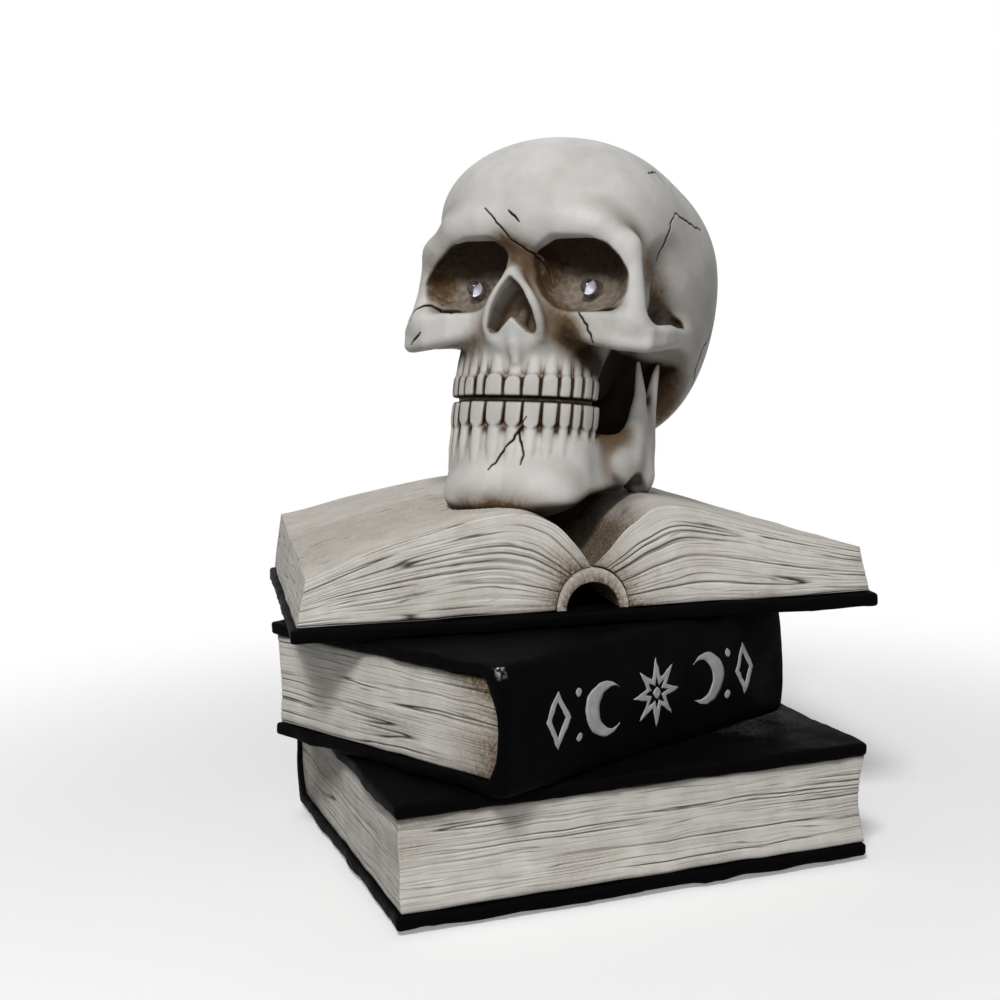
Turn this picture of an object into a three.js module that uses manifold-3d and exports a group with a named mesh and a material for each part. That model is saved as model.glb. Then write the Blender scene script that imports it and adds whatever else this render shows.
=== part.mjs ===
// A light-up table ornament: a bone-coloured skull with two clear eye lamps, resting on an open book,
// which lies on two closed books. The cells and the switch sit in a tray under the lowest book.
// Millimetres, +Z up. The origin is the middle of the felt under the lowest book; the front faces -Y.
import * as THREE from 'three';
import { mergeVertices } from 'three/addons/utils/BufferGeometryUtils.js';
import Module from 'manifold-3d';

const wasm = await Module();
wasm.setup();

// Fits
const SEAT = 0.3; // gap between pieces that rest on, or are glued into, each other
const RUN = 0.3; // gap around pieces that move

// Closed books
const BOARD = 4; // cover boards
const SQUARE = 1.5; // how far the boards stand past the pages
const SPINE_WALL = 3.2;
const SPINE_ROUND = 1.5; // how far a spine bulges outside
const PAGE_ROUND = 4; // how far the backs of the pages bulge
const FORE_EDGE_HOLLOW = 1; // how far a fore edge dips in
const EDGE_RADIUS = 1.2; // rounding along the boards
const BASE_LENGTH = 150;
const BASE_DEPTH = 129;
const BASE_HEIGHT = 36;
const MIDDLE_LENGTH = 128.6;
const MIDDLE_DEPTH = 106;
const MIDDLE_HEIGHT = 37.2;
const MIDDLE_X = -9.7; // middle of the book, from the middle of the base
const MIDDLE_Y = 0.6;
const MIDDLE_TURN = 24.7; // degrees
const FELT = 1.2;
const FELT_INSET = 5;

// Open book
const OPEN_WIDTH = 184;
const OPEN_DEPTH = 124;
const OPEN_BOARD = 4.2;
const OPEN_SQUARE = 3; // how far the board stands past the pages
const OPEN_X = 7.9;
const OPEN_Y = 27.6;
const OPEN_TURN = -8.34;
const PAGE_SLANT = 3.4; // how far a fore edge leans in
const FORE_EDGE_RISE = 14.3; // page heights above the board
const HUMP_RISE = 30.7;
const HUMP_REACH = 26; // from the gutter to the highest page
const LEFT_FULLNESS = 0.6; // share of the hump's rise left halfway to the fore edge
const RIGHT_FULLNESS = 0.42;
const LEFT_SHOULDER = 0.15; // share of the hump's rise lost halfway to the gutter
const RIGHT_SHOULDER = 0.28;
const LEFT_LIFT = 6; // how much higher the pages lie at the back corner than at the front one
const RIGHT_LIFT = -3.5;
const ARCH_WIDTH = 22.5; // the folded back of the pages
const ARCH_RISE = 11.4;
const ARCH_WALL = 3;

// Skull and jaw, posed on the open book
const SKULL_X = 15; // middle of the braincase, from the middle of the open book
const SKULL_Y = 5.4;
const SKULL_TURN = -45.7;
const SKULL_TILT = -14;
const SKULL_LEAN = 0.8;
const SKULL_LENGTH = 109; // from the back of the head to the brow
const CHIN_BED = 4.5; // how deep the chin beds into the page
const BITE_GAP = 0.9;
const UPPER_CROWN = 9.2;
const LOWER_CROWN = 10;
const TOOTH_PITCH = 6.5;
const TOOTH_GAP = 0.5;
const CROWN_ROUND = 2; // rounding of a crown's corners
const TEETH_PER_SIDE = 6;
const TEETH_SHIFT = 2; // how far the middle gap lies to the skull's left
const DENTAL_WIDTH = 23.5; // half width of the dental arch
const DENTAL_DEPTH = 15;
const DENTAL_FRONT = 43.5;
const DENTAL_MIDDLE = -1.2;
const POST_X = 17; // neck post, from the middle of the base
const POST_Y = 30;
const POST_RADIUS = 9;
const POST_TOP_RADIUS = 12;
const DUCT_RADIUS = 3;

// Eye lamps and leads
const LED_DIAMETER = 5;
const LED_FLANGE = 5.8;
const LED_FLANGE_HEIGHT = 1;
const LED_LENGTH = 8.6;
const SLEEVE_RADIUS = 2.1;
const SLEEVE_LENGTH = 8;
const EYE_WIRE = 0.9; // radius
const MAIN_WIRE = 1.5;
const EYE_DUCT_RADIUS = 2.6;
const LEAD_BEND = 4; // how far a lead runs straight behind its sleeve
const JUNCTION_DROP = 22; // where the leads part, below the middle of the braincase

// Battery tray
const TRAY_LENGTH = 76;
const TRAY_WIDTH = 30;
const TRAY_SHIFT = 7; // how far the tray's middle lies from the post
const TRAY_HEIGHT = 16;
const TRAY_WALL = 2;
const HINGE_WALL = 3.5;
const DOOR = 1.7;
const DOOR_LEDGE = 1.4;
const CELL_DIAMETER = 10.5;
const CELL_LENGTH = 44.5;
const CELL_PITCH = 11.4;
const CELL_BUTTON = 3.8;
const CELL_BUTTON_HEIGHT = 0.9;
const CONTACT = 0.6;
const CONTACT_BOSS = 0.7;
const CONTACT_HEIGHT = 8;
const TAB_WIDTH = 5;
const TAB_LENGTH = 1.3;
const TAB_THICK = 0.8;
const SWITCH_LENGTH = 12;
const SWITCH_WIDTH = 7.6;
const SWITCH_HEIGHT = 5;
const KNOB_LENGTH = 4;
const KNOB_WIDTH = 3;
const KNOB_FLANGE = 1; // how far the slider's foot reaches past the knob on each side
const KNOB_FOOT = 0.8; // its thickness
const SWITCH_TRAVEL = 3;

const radians = THREE.MathUtils.degToRad;

// Finishes
const finish = (color, roughness, metalness = 0) => new THREE.MeshStandardMaterial({ color, roughness, metalness });
const bonePaint = finish(0xcfcac0, 0.6);
const coverPaint = finish(0x141418, 0.42);
const pagePaint = finish(0xb9b1a2, 0.8);
const clearLens = finish(0xe9eef2, 0.1);
const blackPlastic = finish(0x1c1c1e, 0.5);
const sleevePlastic = finish(0x222226, 0.6);
const wireSkin = finish(0x3a2020, 0.5);
const steel = finish(0xb8babd, 0.35, 1);
const cellWrap = finish(0x3f4448, 0.4);
const feltCloth = finish(0x26262a, 0.95);

// Solids
const bare = (geometry) => {
  const copy = geometry.clone();
  for (const name of Object.keys(copy.attributes)) {
    if (name !== 'position') copy.deleteAttribute(name);
  }
  return mergeVertices(copy, 1e-4);
};

const solid = (geometry) => {
  const merged = bare(geometry);
  return new wasm.Manifold(new wasm.Mesh({
    numProp: 3,
    vertProperties: new Float32Array(merged.attributes.position.array),
    triVerts: new Uint32Array(merged.index.array),
  }));
};

const shell = (manifold) => {
  const mesh = manifold.getMesh();
  const geometry = new THREE.BufferGeometry();
  geometry.setAttribute('position', new THREE.BufferAttribute(new Float32Array(mesh.vertProperties), 3));
  geometry.setIndex(new THREE.BufferAttribute(new Uint32Array(mesh.triVerts), 1));
  geometry.computeVertexNormals();
  return geometry;
};

const cut = (geometry, ...tools) => shell(tools.reduce((rest, tool) => rest.subtract(solid(tool)), solid(geometry)));
const join = (...pieces) => shell(pieces.map(solid).reduce((sum, piece) => sum.add(piece)));

const block = (x0, x1, y0, y1, z0, z1) => new THREE.BoxGeometry(x1 - x0, y1 - y0, z1 - z0)
  .translate((x0 + x1) / 2, (y0 + y1) / 2, (z0 + z1) / 2);

// A round bar or hole between two points
const bar = (from, to, radius, endRadius = radius, sides = 16) => {
  const axis = new THREE.Vector3().subVectors(to, from);
  const turn = new THREE.Quaternion().setFromUnitVectors(new THREE.Vector3(0, 1, 0), axis.clone().normalize());
  return new THREE.CylinderGeometry(endRadius, radius, axis.length(), sides)
    .applyQuaternion(turn)
    .translate(...new THREE.Vector3().addVectors(from, to).multiplyScalar(0.5).toArray());
};

// A section drawn in depth and height, drawn out along the length
const drawOut = (section, length, curveSegments = 8) => new THREE.ExtrudeGeometry(
  section, { depth: length, bevelEnabled: false, curveSegments },
)
  .translate(0, 0, -length / 2)
  .applyMatrix4(new THREE.Matrix4().makeBasis(
    new THREE.Vector3(0, 1, 0), new THREE.Vector3(0, 0, 1), new THREE.Vector3(1, 0, 0),
  ));

const part = new THREE.Group();
const place = (group, name, geometry, material) => {
  const mesh = new THREE.Mesh(geometry, material);
  mesh.name = name;
  group.add(mesh);
  return mesh;
};

const group = (x, y, z, turn = 0) => {
  const made = new THREE.Group();
  made.position.set(x, y, z);
  made.rotation.z = radians(turn);
  part.add(made);
  made.updateMatrixWorld(true);
  return made;
};

// Geometry of one group seen from another
const seenFrom = (geometry, from, to) => geometry.clone()
  .applyMatrix4(new THREE.Matrix4().copy(to.matrixWorld).invert().multiply(from.matrixWorld));

// The stack
const baseZ = FELT + SEAT;
const middleZ = baseZ + BASE_HEIGHT + SEAT;
const openZ = middleZ + MIDDLE_HEIGHT + SEAT;
const openTop = openZ + OPEN_BOARD;
const base = group(0, 0, baseZ, 180);
const middle = group(MIDDLE_X, MIDDLE_Y, middleZ, MIDDLE_TURN);
const open = group(OPEN_X, OPEN_Y, openZ, OPEN_TURN);
const headScale = SKULL_LENGTH / 109; // the skull below is drawn 109 long
const chinDrop = 76.4 * headScale; // lowest point of the chin, below the middle of the braincase
const skullZ = openTop + HUMP_RISE + chinDrop - CHIN_BED;
const head = group(OPEN_X + SKULL_X, OPEN_Y + SKULL_Y, skullZ);
head.rotation.set(radians(SKULL_TILT), radians(SKULL_LEAN), radians(SKULL_TURN), 'ZXY');
head.updateMatrixWorld(true);
const tray = group(POST_X - TRAY_SHIFT, POST_Y, baseZ);

const ductTop = skullZ - JUNCTION_DROP;
const duct = bar(new THREE.Vector3(POST_X, POST_Y, 0), new THREE.Vector3(POST_X, POST_Y, ductTop), DUCT_RADIUS);
const trayRoom = block(
  -TRAY_LENGTH / 2 - SEAT, TRAY_LENGTH / 2 + SEAT,
  -TRAY_WIDTH / 2 - SEAT, TRAY_WIDTH / 2 + SEAT,
  -baseZ - 1, TRAY_HEIGHT + SEAT,
);

// Felt under the lowest book, open around the battery tray
const feltLength = BASE_LENGTH - 2 * FELT_INSET;
const feltDepth = BASE_DEPTH - 2 * FELT_INSET;
place(part, 'felt_base', cut(
  block(-feltLength / 2, feltLength / 2, -feltDepth / 2, feltDepth / 2, 0, FELT),
  seenFrom(trayRoom, tray, part),
), feltCloth);

// Round line from one height to another through a bulge at depth y, as the back or fore edge of a book
const bulge = (shape, y, fromZ, toZ, depth) => {
  const half = Math.abs(toZ - fromZ) / 2;
  const radius = (half * half + depth * depth) / (2 * depth);
  const angle = Math.asin(half / radius);
  const rising = toZ > fromZ;
  const centre = y - depth + radius;
  const start = rising ? Math.PI + angle : Math.PI - angle;
  const end = rising ? Math.PI - angle : Math.PI + angle;
  shape.absarc(centre, (fromZ + toZ) / 2, radius, start, end, rising);
};

// A closed book: its spine at -Y, its fore edge at +Y, its ends at -X and +X
const closedBook = (book, name, length, depth, height, ...holes) => {
  const spine = -depth / 2 + SPINE_ROUND;
  const inner = spine - SPINE_ROUND + SPINE_WALL + PAGE_ROUND;
  const front = depth / 2;
  const cover = new THREE.Shape();
  cover.moveTo(spine, 0);
  cover.lineTo(front - EDGE_RADIUS, 0);
  cover.absarc(front - EDGE_RADIUS, EDGE_RADIUS, EDGE_RADIUS, -Math.PI / 2, 0);
  cover.lineTo(front, BOARD);
  cover.lineTo(inner, BOARD);
  bulge(cover, inner, BOARD, height - BOARD, PAGE_ROUND);
  cover.lineTo(front, height - BOARD);
  cover.absarc(front - EDGE_RADIUS, height - EDGE_RADIUS, EDGE_RADIUS, 0, Math.PI / 2);
  cover.lineTo(spine, height);
  bulge(cover, spine, height, 0, SPINE_ROUND);
  place(book, `${name}_cover`, cut(drawOut(cover, length), ...holes), coverPaint);

  const low = BOARD + SEAT;
  const high = height - BOARD - SEAT;
  const back = inner + SEAT;
  const edge = front - SQUARE;
  const pages = new THREE.Shape();
  pages.moveTo(back, low);
  pages.lineTo(edge, low);
  bulge(pages, edge, low, high, FORE_EDGE_HOLLOW);
  pages.lineTo(back, high);
  bulge(pages, back, high, low, PAGE_ROUND);
  place(book, `${name}_pages`, cut(drawOut(pages, length - 2 * SQUARE), ...holes), pagePaint);
};

closedBook(
  base, 'bottom_book', BASE_LENGTH, BASE_DEPTH, BASE_HEIGHT,
  seenFrom(duct, part, base), seenFrom(trayRoom, tray, base),
);
closedBook(middle, 'middle_book', MIDDLE_LENGTH, MIDDLE_DEPTH, MIDDLE_HEIGHT, seenFrom(duct, part, middle));

// Skull field: x to the skull's left, f forward, z up from the middle of the braincase
const blend = (a, b, reach) => {
  const h = Math.max(reach - Math.abs(a - b), 0) / reach;
  return Math.min(a, b) - h * h * reach / 4;
};
const carve = (a, b, reach) => -blend(-a, b, reach);

const ellipsoid = (p, centre, radii) => {
  let k0 = 0;
  let k1 = 0;
  for (let i = 0; i < 3; i += 1) {
    const q = (p[i] - centre[i]) / radii[i];
    k0 += q * q;
    k1 += (q / radii[i]) ** 2;
  }
  k0 = Math.sqrt(k0);
  return k0 * (k0 - 1) / Math.max(Math.sqrt(k1), 1e-6);
};

const rod = (p, [a, ra], [b, rb]) => {
  const ab = b.map((v, i) => v - a[i]);
  const length2 = ab[0] ** 2 + ab[1] ** 2 + ab[2] ** 2;
  const along = ab[0] * (p[0] - a[0]) + ab[1] * (p[1] - a[1]) + ab[2] * (p[2] - a[2]);
  const t = THREE.MathUtils.clamp(along / length2, 0, 1);
  const off = Math.hypot(p[0] - a[0] - ab[0] * t, p[1] - a[1] - ab[1] * t, p[2] - a[2] - ab[2] * t);
  return off - (ra + (rb - ra) * t);
};

// A run of rods through points given with their radii
const ridge = (p, points, reach = 4) => {
  let d = rod(p, points[0], points[1]);
  for (let i = 1; i < points.length - 1; i += 1) d = blend(d, rod(p, points[i], points[i + 1]), reach);
  return d;
};

const roundedRect = (u, v, halfU, halfV, radius) => {
  const a = Math.abs(u) - (halfU - radius);
  const b = Math.abs(v) - (halfV - radius);
  return Math.hypot(Math.max(a, 0), Math.max(b, 0)) + Math.min(Math.max(a, b), 0) - radius;
};

const drawn = (size) => size / headScale;
const grown = (geometry) => geometry.scale(headScale, headScale, headScale);
const dentalWidth = drawn(DENTAL_WIDTH);
const dentalDepth = drawn(DENTAL_DEPTH);
const dentalFront = drawn(DENTAL_FRONT);
const dentalMiddle = drawn(DENTAL_MIDDLE);

// Distance from the dental arch in plan: half an ellipse in front, straight sides behind it
const dentalArch = (x, f, grow) => {
  const wide = dentalWidth + grow;
  const deep = dentalDepth + grow;
  const g = Math.max(f - (dentalFront - dentalDepth), 0);
  const k0 = Math.hypot(x / wide, g / deep);
  const k1 = Math.hypot(x / wide ** 2, g / deep ** 2);
  return k0 * (k0 - 1) / Math.max(k1, 1e-3);
};

// Where each tooth stands: equal steps along the dental arch, with its outward direction
const teeth = [];
for (let k = -TEETH_PER_SIDE - 1; k < TEETH_PER_SIDE; k += 1) {
  const target = (k + 0.5) * drawn(TOOTH_PITCH) + drawn(TEETH_SHIFT);
  let angle = 0;
  let walked = 0;
  const step = 0.002;
  while (walked < Math.abs(target) && angle < Math.PI / 2) {
    walked += step * Math.hypot(dentalWidth * Math.cos(angle), dentalDepth * Math.sin(angle));
    angle += step;
  }
  const straight = Math.max(Math.abs(target) - walked, 0);
  const side = Math.sign(target);
  const normal = new THREE.Vector2(Math.sin(angle) / dentalWidth, Math.cos(angle) / dentalDepth).normalize();
  teeth.push({
    x: side * dentalWidth * Math.sin(angle),
    f: dentalFront - dentalDepth + dentalDepth * Math.cos(angle) - straight,
    nx: side * normal.x,
    nf: normal.y,
  });
}

// Tooth crowns from the gum to the bite, as solids that stand on the gum
const crowns = (gum, bite, thick, inset) => teeth.map(({ x, f, nx, nf }) => {
  const half = drawn(TOOTH_PITCH - TOOTH_GAP) / 2;
  const round = Math.min(drawn(CROWN_ROUND), half * 0.9) * Math.sign(gum - bite);
  const reach = Math.abs(round);
  const face = new THREE.Shape([
    [-half, gum], [-half, bite + round], [-half + 0.3 * reach, bite + 0.3 * round], [-half + reach, bite],
    [half - reach, bite], [half - 0.3 * reach, bite + 0.3 * round], [half, bite + round], [half, gum],
  ].map(([across, z]) => new THREE.Vector2(across, z)));
  return new THREE.ExtrudeGeometry(face, { depth: thick, bevelEnabled: false })
    .translate(0, 0, -thick / 2 - inset)
    .applyMatrix4(new THREE.Matrix4().makeBasis(
      new THREE.Vector3(nf, nx, 0), new THREE.Vector3(0, 0, 1), new THREE.Vector3(nx, -nf, 0),
    ))
    .translate(dentalMiddle + x, -f, 0);
});

const skullField = (x, f, z) => {
  const p = [Math.abs(x), f, z];
  // Braincase: vault, forehead, lower back, temples
  let d = ellipsoid(p, [0, -7, -4], [45.5, 51, 46.5]);
  d = blend(d, ellipsoid(p, [0, 18, 3], [41, 32.5, 38.5]), 12);
  d = blend(d, ellipsoid(p, [0, -17, -21], [38, 33, 29]), 12);
  d = carve(d, ellipsoid(p, [49, 22, -12], [13, 15, 17]), 8);
  d = carve(d, ellipsoid(p, [41, 15, -17], [9, 11, 8]), 4);
  // Face between the sockets, and upper jaw
  d = blend(d, ellipsoid(p, [0, 24, -14], [34, 19, 19]), 8);
  d = blend(d, ellipsoid(p, [0, 28, -30], [24, 17, 17]), 8);
  // Brow, cheek bone and its arch
  const brow = [[[0, 45, 2.5], 4.6], [[13, 46, 5], 5], [[25, 43.5, 4.2], 4.6], [[33.5, 39.5, -3], 4.4], [[37, 36.5, -11], 4]];
  d = blend(d, ridge(p, brow), 6);
  const upright = [[[37, 36.5, -11], 4], [[37.2, 36, -19], 4.2], [[36, 36.5, -28], 6.6]];
  const cheekArch = [
    [[19, 39, -29], 5], [[28, 39, -30], 6], [[37, 36, -29], 6.6], [[41.5, 27, -27.5], 5],
    [[43.5, 16, -24.5], 4.2], [[42.5, 6, -21.5], 4], [[39.5, -3, -19], 4.5],
  ];
  d = blend(d, blend(ridge(p, upright), ridge(p, cheekArch), 4), 4);
  // Eye sockets, narrowing to the back
  const behind = THREE.MathUtils.clamp(37 - f, 0, 30);
  const narrow = THREE.MathUtils.clamp(1 - 0.035 * behind, 0.6, 1);
  const u = (p[0] - (20.8 - 0.3 * behind)) / narrow;
  const v = (z + 11.2) / narrow;
  const slope = radians(8);
  const socket = roundedRect(
    u * Math.cos(slope) - v * Math.sin(slope), u * Math.sin(slope) + v * Math.cos(slope), 13.8, 11, 9,
  ) * narrow;
  d = carve(d, carve(socket, f - 31, 8), 2);
  // Nose: bridge and rim
  d = blend(d, rod(p, [[0, 43.5, 1], 4.6], [[0, 51.5, -9], 3.6]), 5);
  const rim = [[[0, 52.2, -10.5], 2.8], [[5, 50.2, -18], 2.5], [[9.2, 47.6, -26], 2.5], [[9.6, 46.5, -31], 2.6], [[3, 46, -33.5], 2.5]];
  d = blend(d, ridge(p, rim, 2), 3);
  // Gum, and hollows below the cheek bone and its arch
  const gum = carve(carve(dentalArch(x - dentalMiddle, f, -2.2), 8 - Math.abs(z + 37), 5), f - 6, 4);
  d = blend(d, gum, 6);
  d = carve(d, ellipsoid(p, [37, 31, -47], [13, 20, 11]), 5);
  d = carve(d, ellipsoid(p, [33, 4, -46], [15, 24, 20]), 5);
  return d;
};

const jawField = (x, f, z) => {
  const p = [Math.abs(x), f, z];
  // Body: a horseshoe that widens to the back and to its lower border
  const spread = 0.2 * Math.max(28 - f, 0) + 0.06 * Math.max(-60 - z, 0);
  const across = Math.sign(x) * Math.max(p[0] - spread, 0);
  const lower = -86 + 0.32 * (43 - f);
  const upper = -57.5 + 0.08 * Math.max(25 - f, 0);
  const wall = carve(dentalArch(across, f, -1.2), dentalArch(across, f, -10.5), 3);
  let d = carve(carve(wall, Math.min(z - lower, upper - z), 7), f + 7, 5);
  d = blend(d, ellipsoid(p, [8, 37, -79], [13, 7.5, 7.5]), 7);
  // Ramus with its two prongs
  const rear = [[[27.5, -4, -66], 4.6], [[27.5, -4.5, -55], 4], [[28, -4, -43], 3.2], [[29, -7, -33], 2.8]];
  const fore = [[[26.5, 8, -62], 4.6], [[27, 6.5, -51], 3.8], [[28, 7.5, -43], 2.8], [[28.5, 10.5, -34], 2.2]];
  let ramus = blend(ridge(p, rear), ridge(p, fore), 4);
  ramus = blend(ramus, ellipsoid(p, [27, 2, -57], [3.8, 9, 11]), 4);
  return blend(d, ramus, 5);
};

// Grid lines from one end to the other, with the step of each stretch
const lines = (start, ...stretches) => {
  const out = [start];
  for (const [end, step] of stretches) {
    const from = out[out.length - 1];
    const count = Math.ceil((end - from) / step);
    for (let i = 1; i <= count; i += 1) out.push(from + (end - from) * i / count);
  }
  return out;
};

// The closed surface where a field is zero: one point in each grid cell that the surface crosses
const surfaceOf = (field, xs, fs, zs) => {
  const [nx, nf, nz] = [xs.length, fs.length, zs.length];
  const at = (i, j, k) => (i * nf + j) * nz + k;
  const value = new Float64Array(nx * nf * nz);
  for (let i = 0; i < nx; i += 1) {
    for (let j = 0; j < nf; j += 1) {
      for (let k = 0; k < nz; k += 1) value[at(i, j, k)] = field(xs[i], fs[j], zs[k]);
    }
  }
  // Where two corners of a face lie inside across from each other, the shallowest corner changes side
  const strides = [at(1, 0, 0), at(0, 1, 0), at(0, 0, 1)];
  const counts = [nx, nf, nz];
  let unsettled = true;
  while (unsettled) {
    unsettled = false;
    for (let axis = 0; axis < 3; axis += 1) {
      const [s, t] = [strides[(axis + 1) % 3], strides[(axis + 2) % 3]];
      const limit = counts.map((n, i) => (i === axis ? n : n - 1));
      for (let i = 0; i < limit[0]; i += 1) {
        for (let j = 0; j < limit[1]; j += 1) {
          for (let k = 0; k < limit[2]; k += 1) {
            const o = at(i, j, k);
            const face = [o, o + s, o + s + t, o + t];
            const inside = face.map((c) => value[c] < 0);
            if (inside[0] !== inside[2] || inside[1] !== inside[3] || inside[0] === inside[1]) continue;
            const shallow = face.reduce((a, b) => (Math.abs(value[a]) < Math.abs(value[b]) ? a : b));
            value[shallow] = value[shallow] < 0 ? 0.02 : -0.02;
            unsettled = true;
          }
        }
      }
    }
  }
  const cellPoint = new Map();
  const positions = [];
  const grid = [xs, fs, zs];
  const cellAt = (i, j, k) => {
    const key = at(i, j, k);
    if (cellPoint.has(key)) return cellPoint.get(key);
    const corner = [i, j, k];
    const sum = [0, 0, 0];
    let hits = 0;
    for (let axis = 0; axis < 3; axis += 1) {
      const [b, c] = [(axis + 1) % 3, (axis + 2) % 3];
      for (let m = 0; m < 4; m += 1) {
        const low = [...corner];
        low[b] += m & 1;
        low[c] += m >> 1;
        const high = [...low];
        high[axis] += 1;
        const [v0, v1] = [value[at(...low)], value[at(...high)]];
        if ((v0 < 0) === (v1 < 0)) continue;
        const t = v0 / (v0 - v1);
        for (let q = 0; q < 3; q += 1) sum[q] += grid[q][low[q]] + t * (grid[q][high[q]] - grid[q][low[q]]);
        hits += 1;
      }
    }
    cellPoint.set(key, positions.length / 3);
    // Each point moves straight on to the surface; the skull's front faces -Y
    const p = sum.map((v) => v / hits);
    const slope = [0, 1, 2].map((q) => {
      const [less, more] = [[...p], [...p]];
      less[q] -= 0.4;
      more[q] += 0.4;
      return (field(...more) - field(...less)) / 0.8;
    });
    const steep = Math.max(Math.hypot(...slope), 0.3);
    const move = THREE.MathUtils.clamp(-field(...p) / steep, -1, 1);
    positions.push(p[0] + move * slope[0] / steep, -p[1] - move * slope[1] / steep, p[2] + move * slope[2] / steep);
    return cellPoint.get(key);
  };
  const index = [];
  for (let axis = 0; axis < 3; axis += 1) {
    const [b, c] = [(axis + 1) % 3, (axis + 2) % 3];
    for (let i = 0; i < nx; i += 1) {
      for (let j = 0; j < nf; j += 1) {
        for (let k = 0; k < nz; k += 1) {
          const o = [i, j, k];
          if (o[axis] >= counts[axis] - 1 || o[b] < 1 || o[c] < 1) continue;
          const far = [...o];
          far[axis] += 1;
          const inside = value[at(...o)] < 0;
          if (inside === (value[at(...far)] < 0)) continue;
          const ring = [[-1, -1], [0, -1], [0, 0], [-1, 0]].map(([db, dc]) => {
            const cell = [...o];
            cell[b] += db;
            cell[c] += dc;
            return cellAt(...cell);
          });
          // Turning f into -y mirrors the grid, so the winding is mirrored too
          const [p, q, r, s] = inside ? ring.reverse() : ring;
          const gap = (m, n) => Math.hypot(...[0, 1, 2].map((w) => positions[3 * m + w] - positions[3 * n + w]));
          if (gap(p, r) < gap(q, s)) index.push(p, q, r, p, r, s);
          else index.push(q, r, s, q, s, p);
        }
      }
    }
  }
  const geometry = new THREE.BufferGeometry();
  geometry.setAttribute('position', new THREE.Float32BufferAttribute(positions, 3));
  geometry.setIndex(index);
  return geometry;
};

// Skull on its neck post, with ducts from the post to both eye lamps
const upright = new THREE.Vector3(POST_X, POST_Y, 0);
const onPost = (z) => upright.clone().setZ(z);
const inHead = (x, f, z) => new THREE.Vector3(x, -f, z);
const junction = head.worldToLocal(onPost(ductTop - DUCT_RADIUS));
const ledBore = LED_FLANGE / 2 + SEAT;
const ledSide = 20 * headScale;
const ledBack = 30 * headScale;
const ledHeight = -13 * headScale;
const sleeveBack = ledBack - SEAT - SLEEVE_LENGTH;
const eyeDucts = [-1, 1].flatMap((side) => [
  bar(inHead(side * ledSide, sleeveBack - LEAD_BEND, ledHeight), inHead(side * ledSide, ledBack + 8, ledHeight), ledBore),
  bar(inHead(side * ledSide, sleeveBack - LEAD_BEND / 2, ledHeight), junction, EYE_DUCT_RADIUS),
]);
const skullForm = grown(surfaceOf(
  skullField,
  lines(-54, [54, 4.3]),
  lines(-66, [4, 8], [60, 4]),
  lines(-60, [10, 3.9], [54, 8]),
));
// Nose opening, drawn half and mirrored: peak, flank, lower lobe, spine
const noseHalf = [[0, -12.5], [2.6, -15], [6, -21.5], [8.4, -27], [6.6, -30.4], [3, -30.6], [1.2, -27.4], [0, -26.4]];
const noseShape = new THREE.Shape([
  ...noseHalf, ...noseHalf.slice(1, -1).reverse().map(([x, z]) => [-x, z]),
].map(([x, z]) => new THREE.Vector2(x, z)));
const noseHole = grown(new THREE.ExtrudeGeometry(noseShape, { depth: 30, bevelEnabled: false })
  .rotateX(Math.PI / 2)
  .translate(0, -37, 0));
const postTop = skullZ - 45 * headScale;
const post = bar(onPost(openTop + SEAT), onPost(postTop), POST_RADIUS, POST_TOP_RADIUS, 20);
const postRoom = bar(onPost(0), onPost(postTop), POST_RADIUS + SEAT, POST_TOP_RADIUS + SEAT, 20);
const bite = -49.6; // where the teeth meet, as drawn
const upperBite = bite + drawn(BITE_GAP) / 2;
const lowerBite = bite - drawn(BITE_GAP) / 2;
const upperTeeth = crowns(upperBite + drawn(UPPER_CROWN), upperBite, 6.5, 2.6).map(grown);
const skullSolid = join(skullForm, seenFrom(post, part, head), ...upperTeeth);
place(head, 'skull', cut(skullSolid, noseHole, seenFrom(duct, part, head), ...eyeDucts), bonePaint);

// Lower jaw, glued to the page and to the skull
const jawGrid = [lines(-39, [39, 4]), lines(-19, [55, 4]), lines(-95, [-22, 4])];
const lowerTeeth = crowns(lowerBite - drawn(LOWER_CROWN), lowerBite, 6, 3).map(grown);
place(head, 'lower_jaw', join(grown(surfaceOf(jawField, ...jawGrid)), ...lowerTeeth), bonePaint);
const jawRoom = grown(surfaceOf((x, f, z) => jawField(x, f, z) - drawn(1.5 * SEAT), ...jawGrid));

// Open book: a flat case, two leaning stacks of pages and the arched back of the pages between them
place(open, 'open_book_cover', cut(
  block(-OPEN_WIDTH / 2, OPEN_WIDTH / 2, -OPEN_DEPTH / 2, OPEN_DEPTH / 2, 0, OPEN_BOARD),
  seenFrom(duct, part, open),
), coverPaint);

const pageDepth = OPEN_DEPTH - 2 * OPEN_SQUARE;
const archEllipse = (width, rise, side) => new THREE.EllipseCurve(
  0, OPEN_BOARD + SEAT, width / 2, rise, side > 0 ? 0 : Math.PI, Math.PI / 2, side < 0,
);
const pageRoom = [seenFrom(jawRoom, head, open), seenFrom(postRoom, part, open)];

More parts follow.
